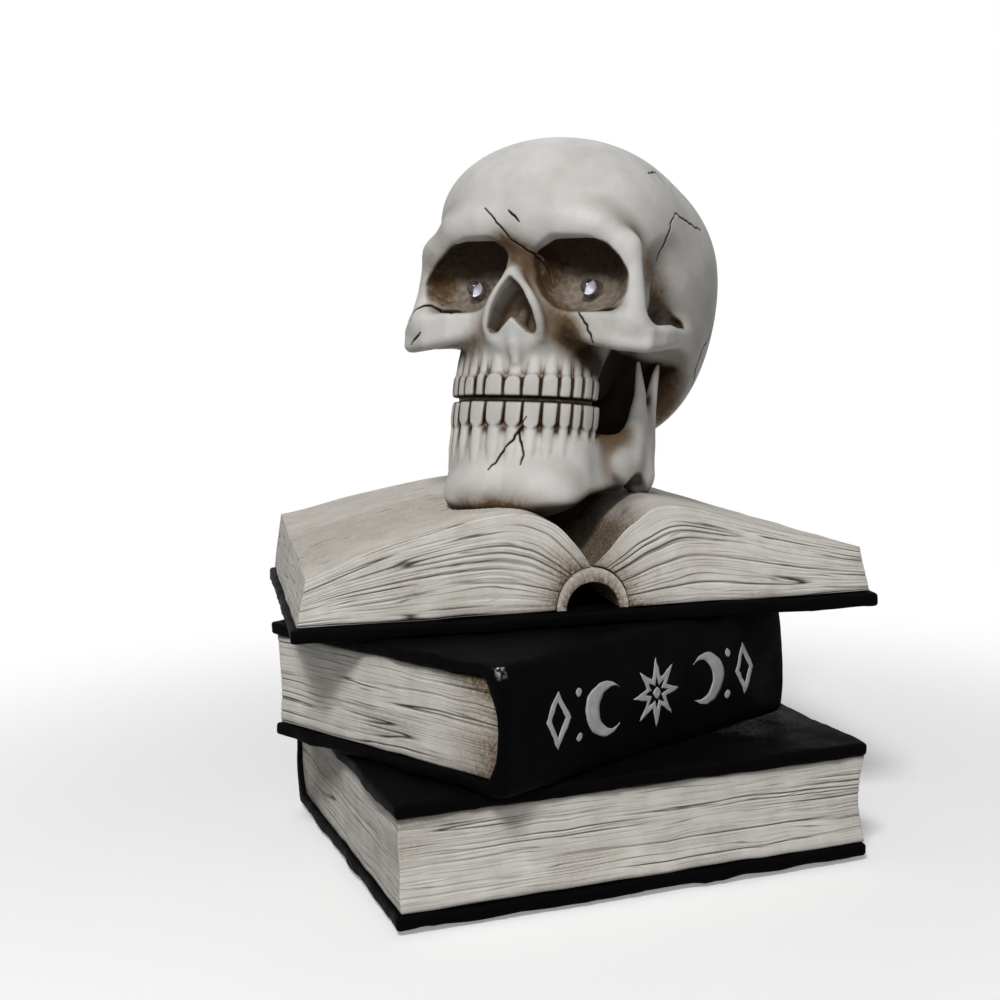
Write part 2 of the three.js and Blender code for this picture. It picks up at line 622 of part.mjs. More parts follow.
// One stack of pages, drawn from the board's edge over the hump to the gutter and back under the arch
const pageStack = (name, side, fullness, shoulder, lift) => {
  const low = OPEN_BOARD + SEAT;
  const outer = OPEN_WIDTH / 2 - OPEN_SQUARE / 2;
  const hump = HUMP_REACH;
  const arch = archEllipse(ARCH_WIDTH + 2 * SEAT, ARCH_RISE + SEAT, 1).getPoints(6);
  const top = new THREE.SplineCurve([
    new THREE.Vector2(outer - PAGE_SLANT, low + FORE_EDGE_RISE),
    new THREE.Vector2(hump + 0.55 * (outer - PAGE_SLANT - hump), low + FORE_EDGE_RISE + fullness * (HUMP_RISE - FORE_EDGE_RISE)),
    new THREE.Vector2(hump, low + HUMP_RISE),
    new THREE.Vector2(hump * 0.5, low + HUMP_RISE - shoulder * (HUMP_RISE - ARCH_RISE)),
    new THREE.Vector2(hump * 0.21, low + HUMP_RISE - (shoulder + 0.38) * (HUMP_RISE - ARCH_RISE)),
    new THREE.Vector2(SEAT, low + ARCH_RISE + 2 * SEAT + 1),
  ]).getPoints(14);
  const section = new THREE.Shape([...arch.map((q) => new THREE.Vector2(Math.max(q.x, SEAT), q.y)), ...top.reverse(),
    new THREE.Vector2(outer, low)]);
  const stack = new THREE.ExtrudeGeometry(section, { depth: pageDepth, steps: 4, bevelEnabled: false })
    .translate(0, 0, -pageDepth / 2)
    .applyMatrix4(new THREE.Matrix4().makeBasis(
      new THREE.Vector3(side, 0, 0), new THREE.Vector3(0, 0, 1), new THREE.Vector3(0, -side, 0),
    ));
  const spot = stack.attributes.position;
  for (let i = 0; i < spot.count; i += 1) {
    const outward = THREE.MathUtils.clamp(Math.abs(spot.getX(i)) / outer, 0, 1);
    const behind = THREE.MathUtils.clamp(spot.getY(i) / pageDepth + 0.5, 0, 1);
    const raised = THREE.MathUtils.clamp((spot.getZ(i) - low) / FORE_EDGE_RISE, 0, 1);
    spot.setZ(i, spot.getZ(i) + lift * outward ** 4 * behind * raised);
  }
  place(open, name, cut(stack, ...pageRoom), pagePaint);
};
pageStack('open_book_left_pages', -1, LEFT_FULLNESS, LEFT_SHOULDER, LEFT_LIFT);
pageStack('open_book_right_pages', 1, RIGHT_FULLNESS, RIGHT_SHOULDER, RIGHT_LIFT);

const arched = new THREE.Shape([
  ...archEllipse(ARCH_WIDTH, ARCH_RISE, 1).getPoints(8),
  ...archEllipse(ARCH_WIDTH, ARCH_RISE, -1).getPoints(8).reverse().slice(1),
  ...archEllipse(ARCH_WIDTH - 2 * ARCH_WALL, ARCH_RISE - ARCH_WALL, -1).getPoints(8),
  ...archEllipse(ARCH_WIDTH - 2 * ARCH_WALL, ARCH_RISE - ARCH_WALL, 1).getPoints(8).reverse().slice(1),
]);
const archStrip = new THREE.ExtrudeGeometry(arched, { depth: pageDepth, bevelEnabled: false })
  .translate(0, 0, -pageDepth / 2)
  .rotateX(Math.PI / 2);
place(open, 'open_book_page_arch', cut(archStrip, ...pageRoom), pagePaint);

// Eye lamps, their sleeves and their leads
const lampProfile = [[0, 0], [LED_FLANGE / 2, 0], [LED_FLANGE / 2, LED_FLANGE_HEIGHT], [LED_DIAMETER / 2, LED_FLANGE_HEIGHT]]
  .map(([r, y]) => new THREE.Vector2(r, y));
const domeBase = LED_LENGTH - LED_DIAMETER / 2;
for (let i = 0; i <= 4; i += 1) {
  const angle = i / 4 * Math.PI / 2;
  const r = LED_DIAMETER / 2 * Math.cos(angle);
  lampProfile.push(new THREE.Vector2(i === 4 ? 0 : r, domeBase + LED_DIAMETER / 2 * Math.sin(angle)));
}
const tube = (points, radius) => {
  const curve = new THREE.CatmullRomCurve3(points);
  const ring = new THREE.Shape().absarc(0, 0, radius, 0, 2 * Math.PI);
  return new THREE.ExtrudeGeometry(ring, { steps: 6, extrudePath: curve, curveSegments: 4 });
};
for (const [name, side] of [['left', 1], ['right', -1]]) {
  const lamp = new THREE.LatheGeometry(lampProfile, 12).rotateX(Math.PI);
  place(head, `${name}_eye_led`, lamp.translate(side * ledSide, -ledBack, ledHeight), clearLens);
  const sleeveFront = ledBack - SEAT;
  place(head, `${name}_led_sleeve`, bar(
    inHead(side * ledSide, sleeveBack, ledHeight), inHead(side * ledSide, sleeveFront, ledHeight),
    SLEEVE_RADIUS, SLEEVE_RADIUS, 12,
  ), sleevePlastic);
  const start = inHead(side * ledSide, sleeveBack - SEAT, ledHeight);
  const end = junction.clone().add(new THREE.Vector3(side * (EYE_WIRE + SEAT), 0, 0));
  const bend = inHead(side * ledSide, sleeveBack - LEAD_BEND / 2, ledHeight);
  place(head, `${name}_eye_wire`, tube([start, bend, bend.clone().lerp(end, 0.5), end], EYE_WIRE), wireSkin);
}
const wireFoot = baseZ + TRAY_HEIGHT + SEAT;
const wireHead = ductTop - DUCT_RADIUS - EYE_WIRE - 2 * SEAT;
place(part, 'main_wire', bar(onPost(wireFoot), onPost(wireHead), MAIN_WIRE, MAIN_WIRE, 8), wireSkin);

// Battery tray, open downwards: room for two cells, a ledge for the door, hinge pockets and a switch bay
const trayLow = -TRAY_LENGTH / 2;
const trayHigh = TRAY_LENGTH / 2;
const roomHigh = trayHigh - HINGE_WALL - DOOR_LEDGE;
const roomLow = roomHigh - CELL_LENGTH - 2 * (CONTACT + CONTACT_BOSS + 2 * SEAT);
const roomHalf = CELL_PITCH / 2 + CELL_DIAMETER / 2 + SEAT;
const doorHigh = roomHigh + DOOR_LEDGE;
const doorLow = roomLow - DOOR_LEDGE;
const doorHalf = roomHalf + DOOR_LEDGE;
const tabLow = DOOR - TAB_THICK;
const tabSides = [-1, 1].map((side) => side * (doorHalf - TAB_WIDTH));
const tabSweep = Math.hypot(TAB_LENGTH, DOOR) + RUN;
const bayMiddle = (trayLow + doorLow) / 2;
const knobLow = bayMiddle - (KNOB_LENGTH + SWITCH_TRAVEL) / 2;
const bayHalf = SWITCH_LENGTH / 2 + SEAT;
const bayFloor = TRAY_WALL;
const nail = bar(
  new THREE.Vector3(doorLow, 0, -1), new THREE.Vector3(doorLow, 0, DOOR + RUN), 5, 5, 20,
);
const slot = (grow, low, high) => block(
  knobLow - grow, knobLow + KNOB_LENGTH + SWITCH_TRAVEL + grow, -KNOB_WIDTH / 2 - grow, KNOB_WIDTH / 2 + grow, low, high,
);
place(tray, 'battery_box', cut(
  block(trayLow, trayHigh, -TRAY_WIDTH / 2, TRAY_WIDTH / 2, 0, TRAY_HEIGHT),
  block(roomLow, roomHigh, -roomHalf, roomHalf, -1, TRAY_HEIGHT - TRAY_WALL),
  block(doorLow - RUN, doorHigh + RUN, -doorHalf - RUN, doorHalf + RUN, -1, DOOR + RUN),
  ...tabSides.map((y) => block(
    doorHigh - tabSweep, doorHigh + TAB_LENGTH + RUN, y - TAB_WIDTH / 2 - RUN, y + TAB_WIDTH / 2 + RUN, tabLow - RUN, tabSweep,
  )),
  nail,
  block(bayMiddle - bayHalf, bayMiddle + bayHalf, -SWITCH_WIDTH / 2 - SEAT, SWITCH_WIDTH / 2 + SEAT, bayFloor, TRAY_HEIGHT + 1),
  slot(RUN, -1, bayFloor + 1),
), blackPlastic);

// Door on two hinge tabs, with a nail notch at its free end
place(tray, 'battery_door', cut(join(
  block(doorLow, doorHigh, -doorHalf, doorHalf, 0, DOOR),
  ...tabSides.map((y) => block(doorHigh - 1, doorHigh + TAB_LENGTH, y - TAB_WIDTH / 2, y + TAB_WIDTH / 2, tabLow, DOOR)),
), bar(new THREE.Vector3(doorLow, 0, -1), new THREE.Vector3(doorLow, 0, DOOR / 2), 4, 4, 20)), blackPlastic);

// Two cells, one turned round, between spring-leaf contacts
const cellRadius = CELL_DIAMETER / 2;
const cellBody = CELL_LENGTH - CELL_BUTTON_HEIGHT;
const cellProfile = [
  [0, 0], [cellRadius - 0.6, 0], [cellRadius, 0.6], [cellRadius, cellBody - 0.6], [cellRadius - 0.6, cellBody],
  [CELL_BUTTON / 2, cellBody], [CELL_BUTTON / 2, CELL_LENGTH], [0, CELL_LENGTH],
].map(([r, y]) => new THREE.Vector2(r, y));
const cellZ = TRAY_HEIGHT - TRAY_WALL - SEAT - cellRadius;
const cellMiddle = (roomLow + roomHigh) / 2;
for (const [name, side] of [['front', -1], ['rear', 1]]) {
  const cell = new THREE.LatheGeometry(cellProfile, 14).translate(0, -CELL_LENGTH / 2, 0).rotateZ(side * Math.PI / 2);
  place(tray, `${name}_cell`, cell.translate(cellMiddle, side * CELL_PITCH / 2, cellZ), cellWrap);
}
const contact = (name, end, fromY, toY) => {
  const wall = end > 0 ? roomHigh : roomLow;
  const near = wall - end * SEAT;
  const far = near - end * CONTACT;
  const tip = far - end * CONTACT_BOSS;
  const plate = block(
    Math.min(near, far), Math.max(near, far), fromY, toY, cellZ - CONTACT_HEIGHT / 2, cellZ + CONTACT_HEIGHT / 2,
  );
  const bosses = [-1, 1].map((side) => side * CELL_PITCH / 2).filter((y) => y > fromY && y < toY).map((y) => bar(
    new THREE.Vector3((near + far) / 2, y, cellZ), new THREE.Vector3(tip, y, cellZ), 2.4, 1.5, 12,
  ));
  place(tray, name, join(plate, ...bosses), steel);
};
const leafHalf = CELL_PITCH / 2 + CONTACT_HEIGHT / 2;
contact('bridge_contact', 1, -leafHalf, leafHalf);
contact('positive_contact', -1, -leafHalf, -leafHalf + CONTACT_HEIGHT);
contact('negative_contact', -1, leafHalf - CONTACT_HEIGHT, leafHalf);

// Slide switch in its bay; the knob runs in a slot in the tray
const switchLow = bayFloor + SEAT;
const knobTop = switchLow + 2.4;
const footHalf = KNOB_WIDTH / 2 + KNOB_FLANGE;
place(tray, 'switch_body', cut(
  block(
    bayMiddle - SWITCH_LENGTH / 2, bayMiddle + SWITCH_LENGTH / 2, -SWITCH_WIDTH / 2, SWITCH_WIDTH / 2,
    switchLow, switchLow + SWITCH_HEIGHT,
  ),
  slot(RUN, 0, knobTop + RUN),
  block(
    knobLow - RUN, knobLow + KNOB_LENGTH + SWITCH_TRAVEL + RUN, -footHalf - RUN, footHalf + RUN,
    knobTop - KNOB_FOOT - RUN, knobTop + RUN,
  ),
), steel);
place(tray, 'switch_slider', join(
  block(knobLow, knobLow + KNOB_LENGTH, -KNOB_WIDTH / 2, KNOB_WIDTH / 2, SEAT, knobTop),
  block(knobLow, knobLow + KNOB_LENGTH, -footHalf, footHalf, knobTop - KNOB_FOOT, knobTop),
), blackPlastic);

export default part;
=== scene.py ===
# A light-up ornament: a skull on a stack of three books, all cast in resin and painted by hand.
# Lengths are in millimetres, and turn to metres only where a mesh is made.
import math

import bmesh
import bpy
import numpy as np
import openvdb
from mathutils import Matrix, Vector


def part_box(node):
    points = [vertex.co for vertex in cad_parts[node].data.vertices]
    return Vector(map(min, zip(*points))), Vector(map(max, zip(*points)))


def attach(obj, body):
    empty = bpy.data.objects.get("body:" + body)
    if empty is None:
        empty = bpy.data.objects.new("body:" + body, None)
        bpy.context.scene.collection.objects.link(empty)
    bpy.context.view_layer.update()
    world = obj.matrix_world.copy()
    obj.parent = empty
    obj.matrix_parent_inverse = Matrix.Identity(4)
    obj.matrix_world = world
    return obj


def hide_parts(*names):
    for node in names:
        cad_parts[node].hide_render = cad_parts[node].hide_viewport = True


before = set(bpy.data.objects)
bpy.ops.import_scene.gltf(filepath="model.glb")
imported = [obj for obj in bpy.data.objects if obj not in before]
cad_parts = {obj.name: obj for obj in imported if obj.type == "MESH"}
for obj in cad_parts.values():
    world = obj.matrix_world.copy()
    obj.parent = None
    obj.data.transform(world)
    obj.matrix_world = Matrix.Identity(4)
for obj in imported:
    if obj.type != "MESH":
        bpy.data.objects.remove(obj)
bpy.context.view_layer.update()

# Felt under the lowest book: a die-cut sheet of black pressed wool, glued on so that the ornament
# doesn't scratch a shelf. A window in it leaves the battery tray free.
MM = 0.001
FELT_CLUMP = 1.4
FELT_EDGE = 0.25
CORNER_WELD = 0.01
SHARE, FROM, TO, MIXED = 0, 6, 7, 2  # how much of a second colour, the first, the second, and their mixture


def linear(code):
    """An sRGB hex colour as linear red, green, blue and alpha."""
    parts = [int(code[i:i + 2], 16) / 255 for i in (1, 3, 5)]
    return tuple(c / 12.92 if c <= 0.04045 else ((c + 0.055) / 1.055) ** 2.4 for c in parts) + (1.0,)


def feed(node, inputs):
    """Sets a node's inputs to plain values, to hex colours, or to the outputs that feed them."""
    for name, value in inputs.items():
        if isinstance(value, bpy.types.NodeSocket):
            node.id_data.links.new(value, node.inputs[name])
        else:
            node.inputs[name].default_value = linear(value) if isinstance(value, str) else value


def add_node(tree, kind, inputs=None, out=0, **settings):
    """Adds a node with its settings and links, and gives back one of its outputs."""
    made = tree.nodes.new("ShaderNode" + kind)
    for name, value in settings.items():
        setattr(made, name, value)
    feed(made, inputs or {})
    return made.outputs[out]


def new_finish(name, shader):
    """A material with these shader settings: it, its node tree, its shader, and places on the piece."""
    made = bpy.data.materials.new(name)
    made.use_nodes = True
    surface = made.node_tree.nodes["Principled BSDF"]
    feed(surface, shader)
    return made, made.node_tree, surface, add_node(made.node_tree, "TexCoord", out="Object")


# Pressed wool: matt and fuzzy, with pale clumps of fibre.
wool_felt, tree, surface, spot = new_finish("pressed wool felt", {"Roughness": 0.95, "Sheen Weight": 0.3})
clumps = add_node(tree, "TexNoise", {"Vector": spot, "Scale": 1 / (FELT_CLUMP * MM), "Detail": 5.0})
tint = add_node(tree, "Mix", {SHARE: clumps, FROM: "#17171a", TO: "#37373c"}, MIXED, data_type="RGBA")
fuzz = add_node(tree, "Bump", {"Height": clumps, "Strength": 0.5, "Distance": 0.3 * MM})
feed(surface, {"Base Color": tint, "Normal": fuzz})


def dress(name, finish, edge=0.0, smooth=False):
    """Gives a CAD node its finish, and breaks its sharp edges by that much or shades it smooth."""
    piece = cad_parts[name]
    piece.data.materials.clear()
    piece.data.materials.append(finish)
    if smooth:
        piece.data.polygons.foreach_set("use_smooth", [True] * len(piece.data.polygons))
    if edge:
        weld = piece.modifiers.new("welded corners", "WELD")
        weld.merge_threshold = CORNER_WELD * MM
        bevel = piece.modifiers.new("broken edges", "BEVEL")
        bevel.width = edge * MM
        bevel.segments = 2
        bevel.limit_method = "ANGLE"


dress("felt_base", wool_felt, edge=FELT_EDGE)

# Battery tray with its hinged door and its slide switch: black ABS mouldings, pushed into the window under
# the book. The switch can and the spring leaves are stamped steel; the leaves clip into the tray's end walls.
MOULD_GRAIN = 0.35
MOULD_EDGE = 0.2
STRIP_EDGE = 0.08
ROLLING_LINE = (6.0, 0.3, 0.3)  # its length, and its width both ways
WRAP_RIPPLE = 3.0
CELL_RADIUS = 5.25
CELL_LENGTH = 44.5
CELL_BODY = 43.6  # up to the button
CELL_BUTTON = 1.9
CELL_LABEL = 30
NARROWEST = 0.02  # radius left at the ends of a turned form

# Moulded ABS: black with a fine spark-eroded grain that breaks up its shine.
black_abs, tree, surface, spot = new_finish("moulded ABS", {"Base Color": "#1b1b1d", "IOR": 1.54})
grain = add_node(tree, "TexNoise", {"Vector": spot, "Scale": 1 / (MOULD_GRAIN * MM), "Detail": 2.0})
gloss = add_node(tree, "MapRange", {"Value": grain, "To Min": 0.36, "To Max": 0.56})
pits = add_node(tree, "Bump", {"Height": grain, "Strength": 0.25, "Distance": 0.05 * MM})
feed(surface, {"Roughness": gloss, "Normal": pits})
for name in ("battery_box", "battery_door", "switch_slider"):
    dress(name, black_abs, edge=MOULD_EDGE)

# Nickel-plated strip: bright grey with rolling lines along it.
plated_steel, tree, surface, spot = new_finish("nickel-plated steel", {"Metallic": 1.0})
per_metre = [1 / (size * MM) for size in ROLLING_LINE]
drawn_out = add_node(tree, "Mapping", {"Vector": spot, "Scale": per_metre})
rolled = add_node(tree, "TexNoise", {"Vector": drawn_out, "Scale": 1.0, "Detail": 3.0})
tint = add_node(tree, "Mix", {SHARE: rolled, FROM: "#a9abad", TO: "#cdcfd0"}, MIXED, data_type="RGBA")
gloss = add_node(tree, "MapRange", {"Value": rolled, "To Min": 0.22, "To Max": 0.42})
feed(surface, {"Base Color": tint, "Roughness": gloss})
for name in ("bridge_contact", "positive_contact", "negative_contact", "switch_body"):
    dress(name, plated_steel, edge=STRIP_EDGE)

# Shrunk PVC wrap over the cells: dark grey with a pale band at the button end, smooth and slightly waxy.
cell_wrap, tree, surface, spot = new_finish("PVC shrink wrap", {"Roughness": 0.32, "IOR": 1.53})
pale_end = add_node(tree, "Attribute", out="Fac", attribute_name="band")
ripple = add_node(tree, "TexNoise", {"Vector": spot, "Scale": 1 / (WRAP_RIPPLE * MM), "Detail": 2.0})
tint = add_node(tree, "Mix", {SHARE: pale_end, FROM: "#3c4145", TO: "#a7a49c"}, MIXED, data_type="RGBA")
shrink = add_node(tree, "Bump", {"Height": ripple, "Strength": 0.1, "Distance": 0.2 * MM})
feed(surface, {"Base Color": tint, "Normal": shrink})


def add_piece(name, points, faces, finish, slot, replaced=(), **paint):
    """A smooth mesh piece of the ornament; paint gives each point a value under each name."""
    faces = faces if isinstance(faces, list) else faces.tolist()
    quads = np.array([face for face in faces if len(face) == 4])
    a, b, c, d = (points[quads[:, i]] for i in range(4))
    if np.sum(np.cross(a, b) * c) + np.sum(np.cross(a, c) * d) < 0:
        # The faces look inwards
        faces = [face[::-1] for face in faces]
    mesh = bpy.data.meshes.new(name)
    mesh.from_pydata((points * MM).tolist(), [], faces)
    mesh.polygons.foreach_set("use_smooth", np.ones(len(mesh.polygons), bool))
    for label, values in paint.items():
        layer = mesh.attributes.new(label, "FLOAT", "POINT")
        layer.data.foreach_set("value", np.asarray(values, np.float32))
    mesh.materials.append(finish)
    piece = bpy.data.objects.new(name, mesh)
    bpy.context.scene.collection.objects.link(piece)
    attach(piece, "ornament")
    if replaced:
        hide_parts(*replaced)
    return piece


def turned(profile, sides=40):
    """A closed round form about its own length, from pairs of radius and height."""
    radius, height = np.array(profile, float).T
    radius = np.maximum(radius, NARROWEST)
    angle = np.linspace(0, 2 * math.pi, sides, endpoint=False)
    points = np.stack([
        np.outer(radius, np.cos(angle)),
        np.outer(radius, np.sin(angle)),
        np.outer(height, np.ones(sides)),
    ], axis=2).reshape(-1, 3)
    ring = np.arange(sides)
    after = np.roll(ring, -1)
    last = sides * (len(profile) - 1)
    quads = np.concatenate([
        np.stack([row + ring, row + after, row + sides + after, row + sides + ring], axis=1)
        for row in range(0, last, sides)
    ])
    return points, quads.tolist() + [ring[::-1].tolist(), (last + ring).tolist()]


cell_profile = [
    (0, 0), (3.4, 0), (CELL_RADIUS - 0.7, 0), (CELL_RADIUS - 0.2, 0.15), (CELL_RADIUS, 0.7), (CELL_RADIUS, 8),
    (CELL_RADIUS, CELL_LABEL), (CELL_RADIUS, CELL_LABEL + 0.1), (CELL_RADIUS, CELL_BODY - 0.7),
    (CELL_RADIUS - 0.2, CELL_BODY - 0.15), (CELL_RADIUS - 0.7, CELL_BODY), (CELL_BUTTON + 0.1, CELL_BODY),
    (CELL_BUTTON, CELL_BODY + 0.1), (CELL_BUTTON, CELL_LENGTH - 0.2), (CELL_BUTTON - 0.2, CELL_LENGTH),
    (0, CELL_LENGTH),
]
for name, along in (("front_cell", 1), ("rear_cell", -1)):
    low, high = (np.array(corner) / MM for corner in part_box(name))
    points, faces = turned(cell_profile)
    banded = points[:, 2] > CELL_LABEL + 0.05
    middle = (low + high) / 2
    points = middle + np.stack([along * (points[:, 2] - CELL_LENGTH / 2), points[:, 0], points[:, 1]], axis=1)
    add_piece(f"{name}_wrapped", points, faces, cell_wrap, "cell", (name,), band=banded)

# Lowest book: cast resin, painted. The case is one bent board, black all over; the block of pages inside it
# has its leaf lines scored in by hand, and brown wash left in them.
BOARD = 4.0
SQUARE = 1.5
SPINE_WALL = 3.2
SPINE_ROUND = 1.5
SPINE_SOFT = 1.3  # how far the spine's corners are eased, along the board
PAGE_ROUND = 4.0
FORE_EDGE_HOLLOW = 1.0
SEAT = 0.3
BOARD_EDGE = 1.15
BOARD_PITCH = 1.9
BOARD_LAYER = 1.0
PAGE_EDGE = 0.45
PAGE_PITCH = 1.3
PAGE_LAYER = 0.27
LEAF_CUT = 0.17  # half width of a scored line
LEAF_RUN = 60.0  # how far a fine line runs
LEAF_PITCH = 1.05
LEAF_PATCH = (26.0, 1.3)  # length and height of the places where fine lines show
COVER_CLOUD = 14.0
COVER_SPECK = 1.1
COVER_SCUFF = 0.25
PAGE_BLOTCH = 9.0
PAGE_GRIT = 0.9
BASE_SIZE = (150.0, 129.0, 36.0)
BASE_AT = (0.0, 0.0, 1.5, 180.0)
TRAY_ROOM = (-28.3, 48.3, 14.7, 45.3, 16.3)  # ends in x, ends in y, depth
TRAY_FLAT = 4.0  # how far the board lies flat round the tray
RUBBED_AT, RUBBED_REACH = (62, -22), 16  # the worn corner of the top board, its grey also a painted sheen


def unevenness(points, size, seed):
    """Smooth random heights from -1 to 1 whose bumps are about that size, the same on every run."""
    place = np.asarray(points, float) / size
    cell = np.floor(place).astype(np.int64)
    share = place - cell
    share = share * share * (3 - 2 * share)
    total = np.zeros(len(place))
    for corner in np.ndindex(2, 2, 2):
        x, y, z = (cell + corner).T
        mixed = (x * 73856093 ^ y * 19349663 ^ z * 83492791 ^ seed * 40503977) & 0xFFFFFFFF
        for turn, factor in ((15, 2246822519), (13, 3266489917)):
            mixed = (mixed ^ mixed >> turn) * factor & 0xFFFFFFFF
        mixed ^= mixed >> 16
        weight = np.prod(np.where(corner, share, 1 - share), axis=1)
        total += weight * (mixed / 2 ** 31 - 1)
    return total


def steps(length, pitch, edge):
    """Places along a side: close together at both ends, where the edges are rounded, and even between."""
    ends = edge * np.array([0.0, 0.3, 0.62])
    count = max(2, round((length - 2 * edge) / pitch) + 1)
    return np.concatenate([ends, np.linspace(edge, length - edge, count), length - ends[::-1]])


def lattice_skin(sides, hollow=None):
    """Skin round a block of cells: each point's place along the three sides, and quads facing out.

    Cells whose middle the hollow holds are left out."""
    middles = np.meshgrid(*[(side[1:] + side[:-1]) / 2 for side in sides], indexing="ij")
    filled = np.ones(middles[0].shape, bool) if hollow is None else ~hollow(*middles)
    padded = np.pad(filled, 1).astype(np.int8)
    shape = [len(side) for side in sides]
    number = np.arange(np.prod(shape)).reshape(shape)
    quads = []
    for axis in range(3):
        change = np.moveaxis(np.diff(padded, axis=axis), axis, 0)[:, 1:-1, 1:-1]
        grid = np.moveaxis(number, axis, 0)
        ring = [grid[:, :-1, :-1], grid[:, 1:, :-1], grid[:, 1:, 1:], grid[:, :-1, 1:]]
        flipped = axis == 1
        for sign in (1, -1):
            at = np.nonzero(change == sign)
            quad = np.stack([corner[at] for corner in ring], axis=1)
            quads.append(quad[:, ::-1] if (sign == 1) != flipped else quad)
    used, quads = np.unique(np.concatenate(quads), return_inverse=True)
    places = np.stack([side[i] for side, i in zip(sides, np.unravel_index(used, shape))], axis=1)
    return places, quads.reshape(-1, 4)


def rounded(places, size, radius):
    """Places on the skin of a block, moved in so that its edges are round."""
    core = np.clip(places, radius, np.array(size) - radius)
    out = places - core
    reach = np.linalg.norm(out, axis=1, keepdims=True)
    return core + out * np.where(reach > radius, radius / np.maximum(reach, 1e-9), 1.0)


def shaken(points, size, seed):
    """Smooth random moves of points in all three directions."""
    return np.stack([unevenness(points, size, seed + i) for i in range(3)], axis=1)


def wobble(points, seed):
    """Points moved as on a hand-made model: long waves, and small dents between them."""
    return points + 0.55 * shaken(points, 11.0, seed) + 0.22 * shaken(points, 3.2, seed + 3)


def laid(points, x, y, z, turn):
    """Points of a book, turned and set down on the stack."""
    c, s = math.cos(math.radians(turn)), math.sin(math.radians(turn))
    return points @ np.array([[c, s, 0], [-s, c, 0], [0, 0, 1]]) + (x, y, z)


def round_back(share, depth):
    """How far a rounded back or fore edge bulges at a share of its height."""
    return depth * (1 - (2 * share - 1) ** 2)


def case_points(along, thick, length, depth, height, across):
    """Places in a bent case: along it from the lower front edge round the spine, and through its wall."""
    front = depth / 2
    outer_back = -front + SPINE_ROUND
    inner_back = -front + SPINE_WALL + PAGE_ROUND
    run = np.clip(np.minimum(along, 2 * depth + height - along) / depth, 0, 1)
    rise = np.clip((along - depth) / height, 0, 1)
    outer_y = front - run * (front - outer_back) - round_back(rise, SPINE_ROUND)
    inner_y = front - run * (front - inner_back) - round_back(rise, PAGE_ROUND)
    inner_z = BOARD + rise * (height - 2 * BOARD)
    share = thick / BOARD
    y = outer_y + (inner_y - outer_y) * share
    z = rise * height + (inner_z - rise * height) * share
    return np.stack([across - length / 2, y, z], axis=1)


def softened_case(places, size):
    """Case points with the corners of the spine slightly rounded."""
    length, depth, height = size
    along, thick, across = places.T
    ease = np.clip(np.minimum(along, 2 * depth + height - along) / 10, 0, 1)
    shifts = np.linspace(-SPINE_SOFT, SPINE_SOFT, 5)
    return sum(
        case_points(along + shift * ease, thick, length, depth, height, across) for shift in shifts
    ) / len(shifts)


def book_case(size, seed, room=None):
    """The case of a closed book, with a window for a tray where there is one."""
    length, depth, height = size
    extent = (2 * depth + height, BOARD, length)
    pitches = (BOARD_PITCH, BOARD_LAYER, BOARD_PITCH)
    sides = [steps(side, pitch, BOARD_EDGE) for side, pitch in zip(extent, pitches)]
    hollow = None
    if room is not None:
        # The book lies turned half round, so its own x and y run backwards
        u0, u1 = depth / 2 + room[2], depth / 2 + room[3]
        w0, w1 = length / 2 - room[1], length / 2 - room[0]
        sides[0] = np.unique(np.concatenate([sides[0][np.abs(sides[0] - u0) > 0.3], [u0, u1]]))
        sides[2] = np.unique(np.concatenate([sides[2], [w0, w1]]))

        def hollow(u, v, w):
            return (u > u0) & (u < u1) & (w > w0) & (w < w1)
    places, quads = lattice_skin(sides, hollow)
    places = rounded(places, extent, BOARD_EDGE)
    flat = softened_case(places, size)
    points = wobble(flat, seed)
    if room is not None:
        u, _, w = places.T
        beyond = np.max([u0 - u, u - u1, w0 - w, w - w1], axis=0)
        points = points + (flat - points) * np.exp(-np.maximum(beyond, 0) / TRAY_FLAT)[:, None]
    return points, quads


def on_sheet(along, across):
    """Places on a flat sheet, as points."""
    return np.stack([along, across, np.zeros(len(along))], axis=1)


def scored(here, size, step, least, width, seed):
    """Lines where smooth random heights pass zero: 1 on a line, falling to 0 beside it."""
    height = unevenness(here, size, seed)
    slope = (unevenness(here + (0, step, 0), size, seed) - height) / step
    return np.exp(-(height / np.maximum(np.abs(slope), least) / width) ** 2)


def page_lines(along, up, seed):
    """How strongly page edges are scored, from 0 to 1: bold lines that come and go, and fine leaf lines."""
    sway = up + 0.55 * unevenness(on_sheet(along, up), (38, 9, 1), seed)
    here = on_sheet(along, sway)
    fade = np.clip(0.5 + 1.5 * unevenness(here, (30, 1.7, 1), seed + 1), 0, 1)
    thin = np.clip(0.55 + 1.5 * unevenness(here, (24, 2.3, 1), seed + 4), 0, 1)
    bold = fade * scored(here, (85, 1.5, 1), step=0.12, least=0.3, width=LEAF_CUT, seed=seed + 2)
    fine = thin * scored(here, (70, 0.8, 1), step=0.08, least=0.5, width=0.6 * LEAF_CUT, seed=seed + 3)
    return bold, fine


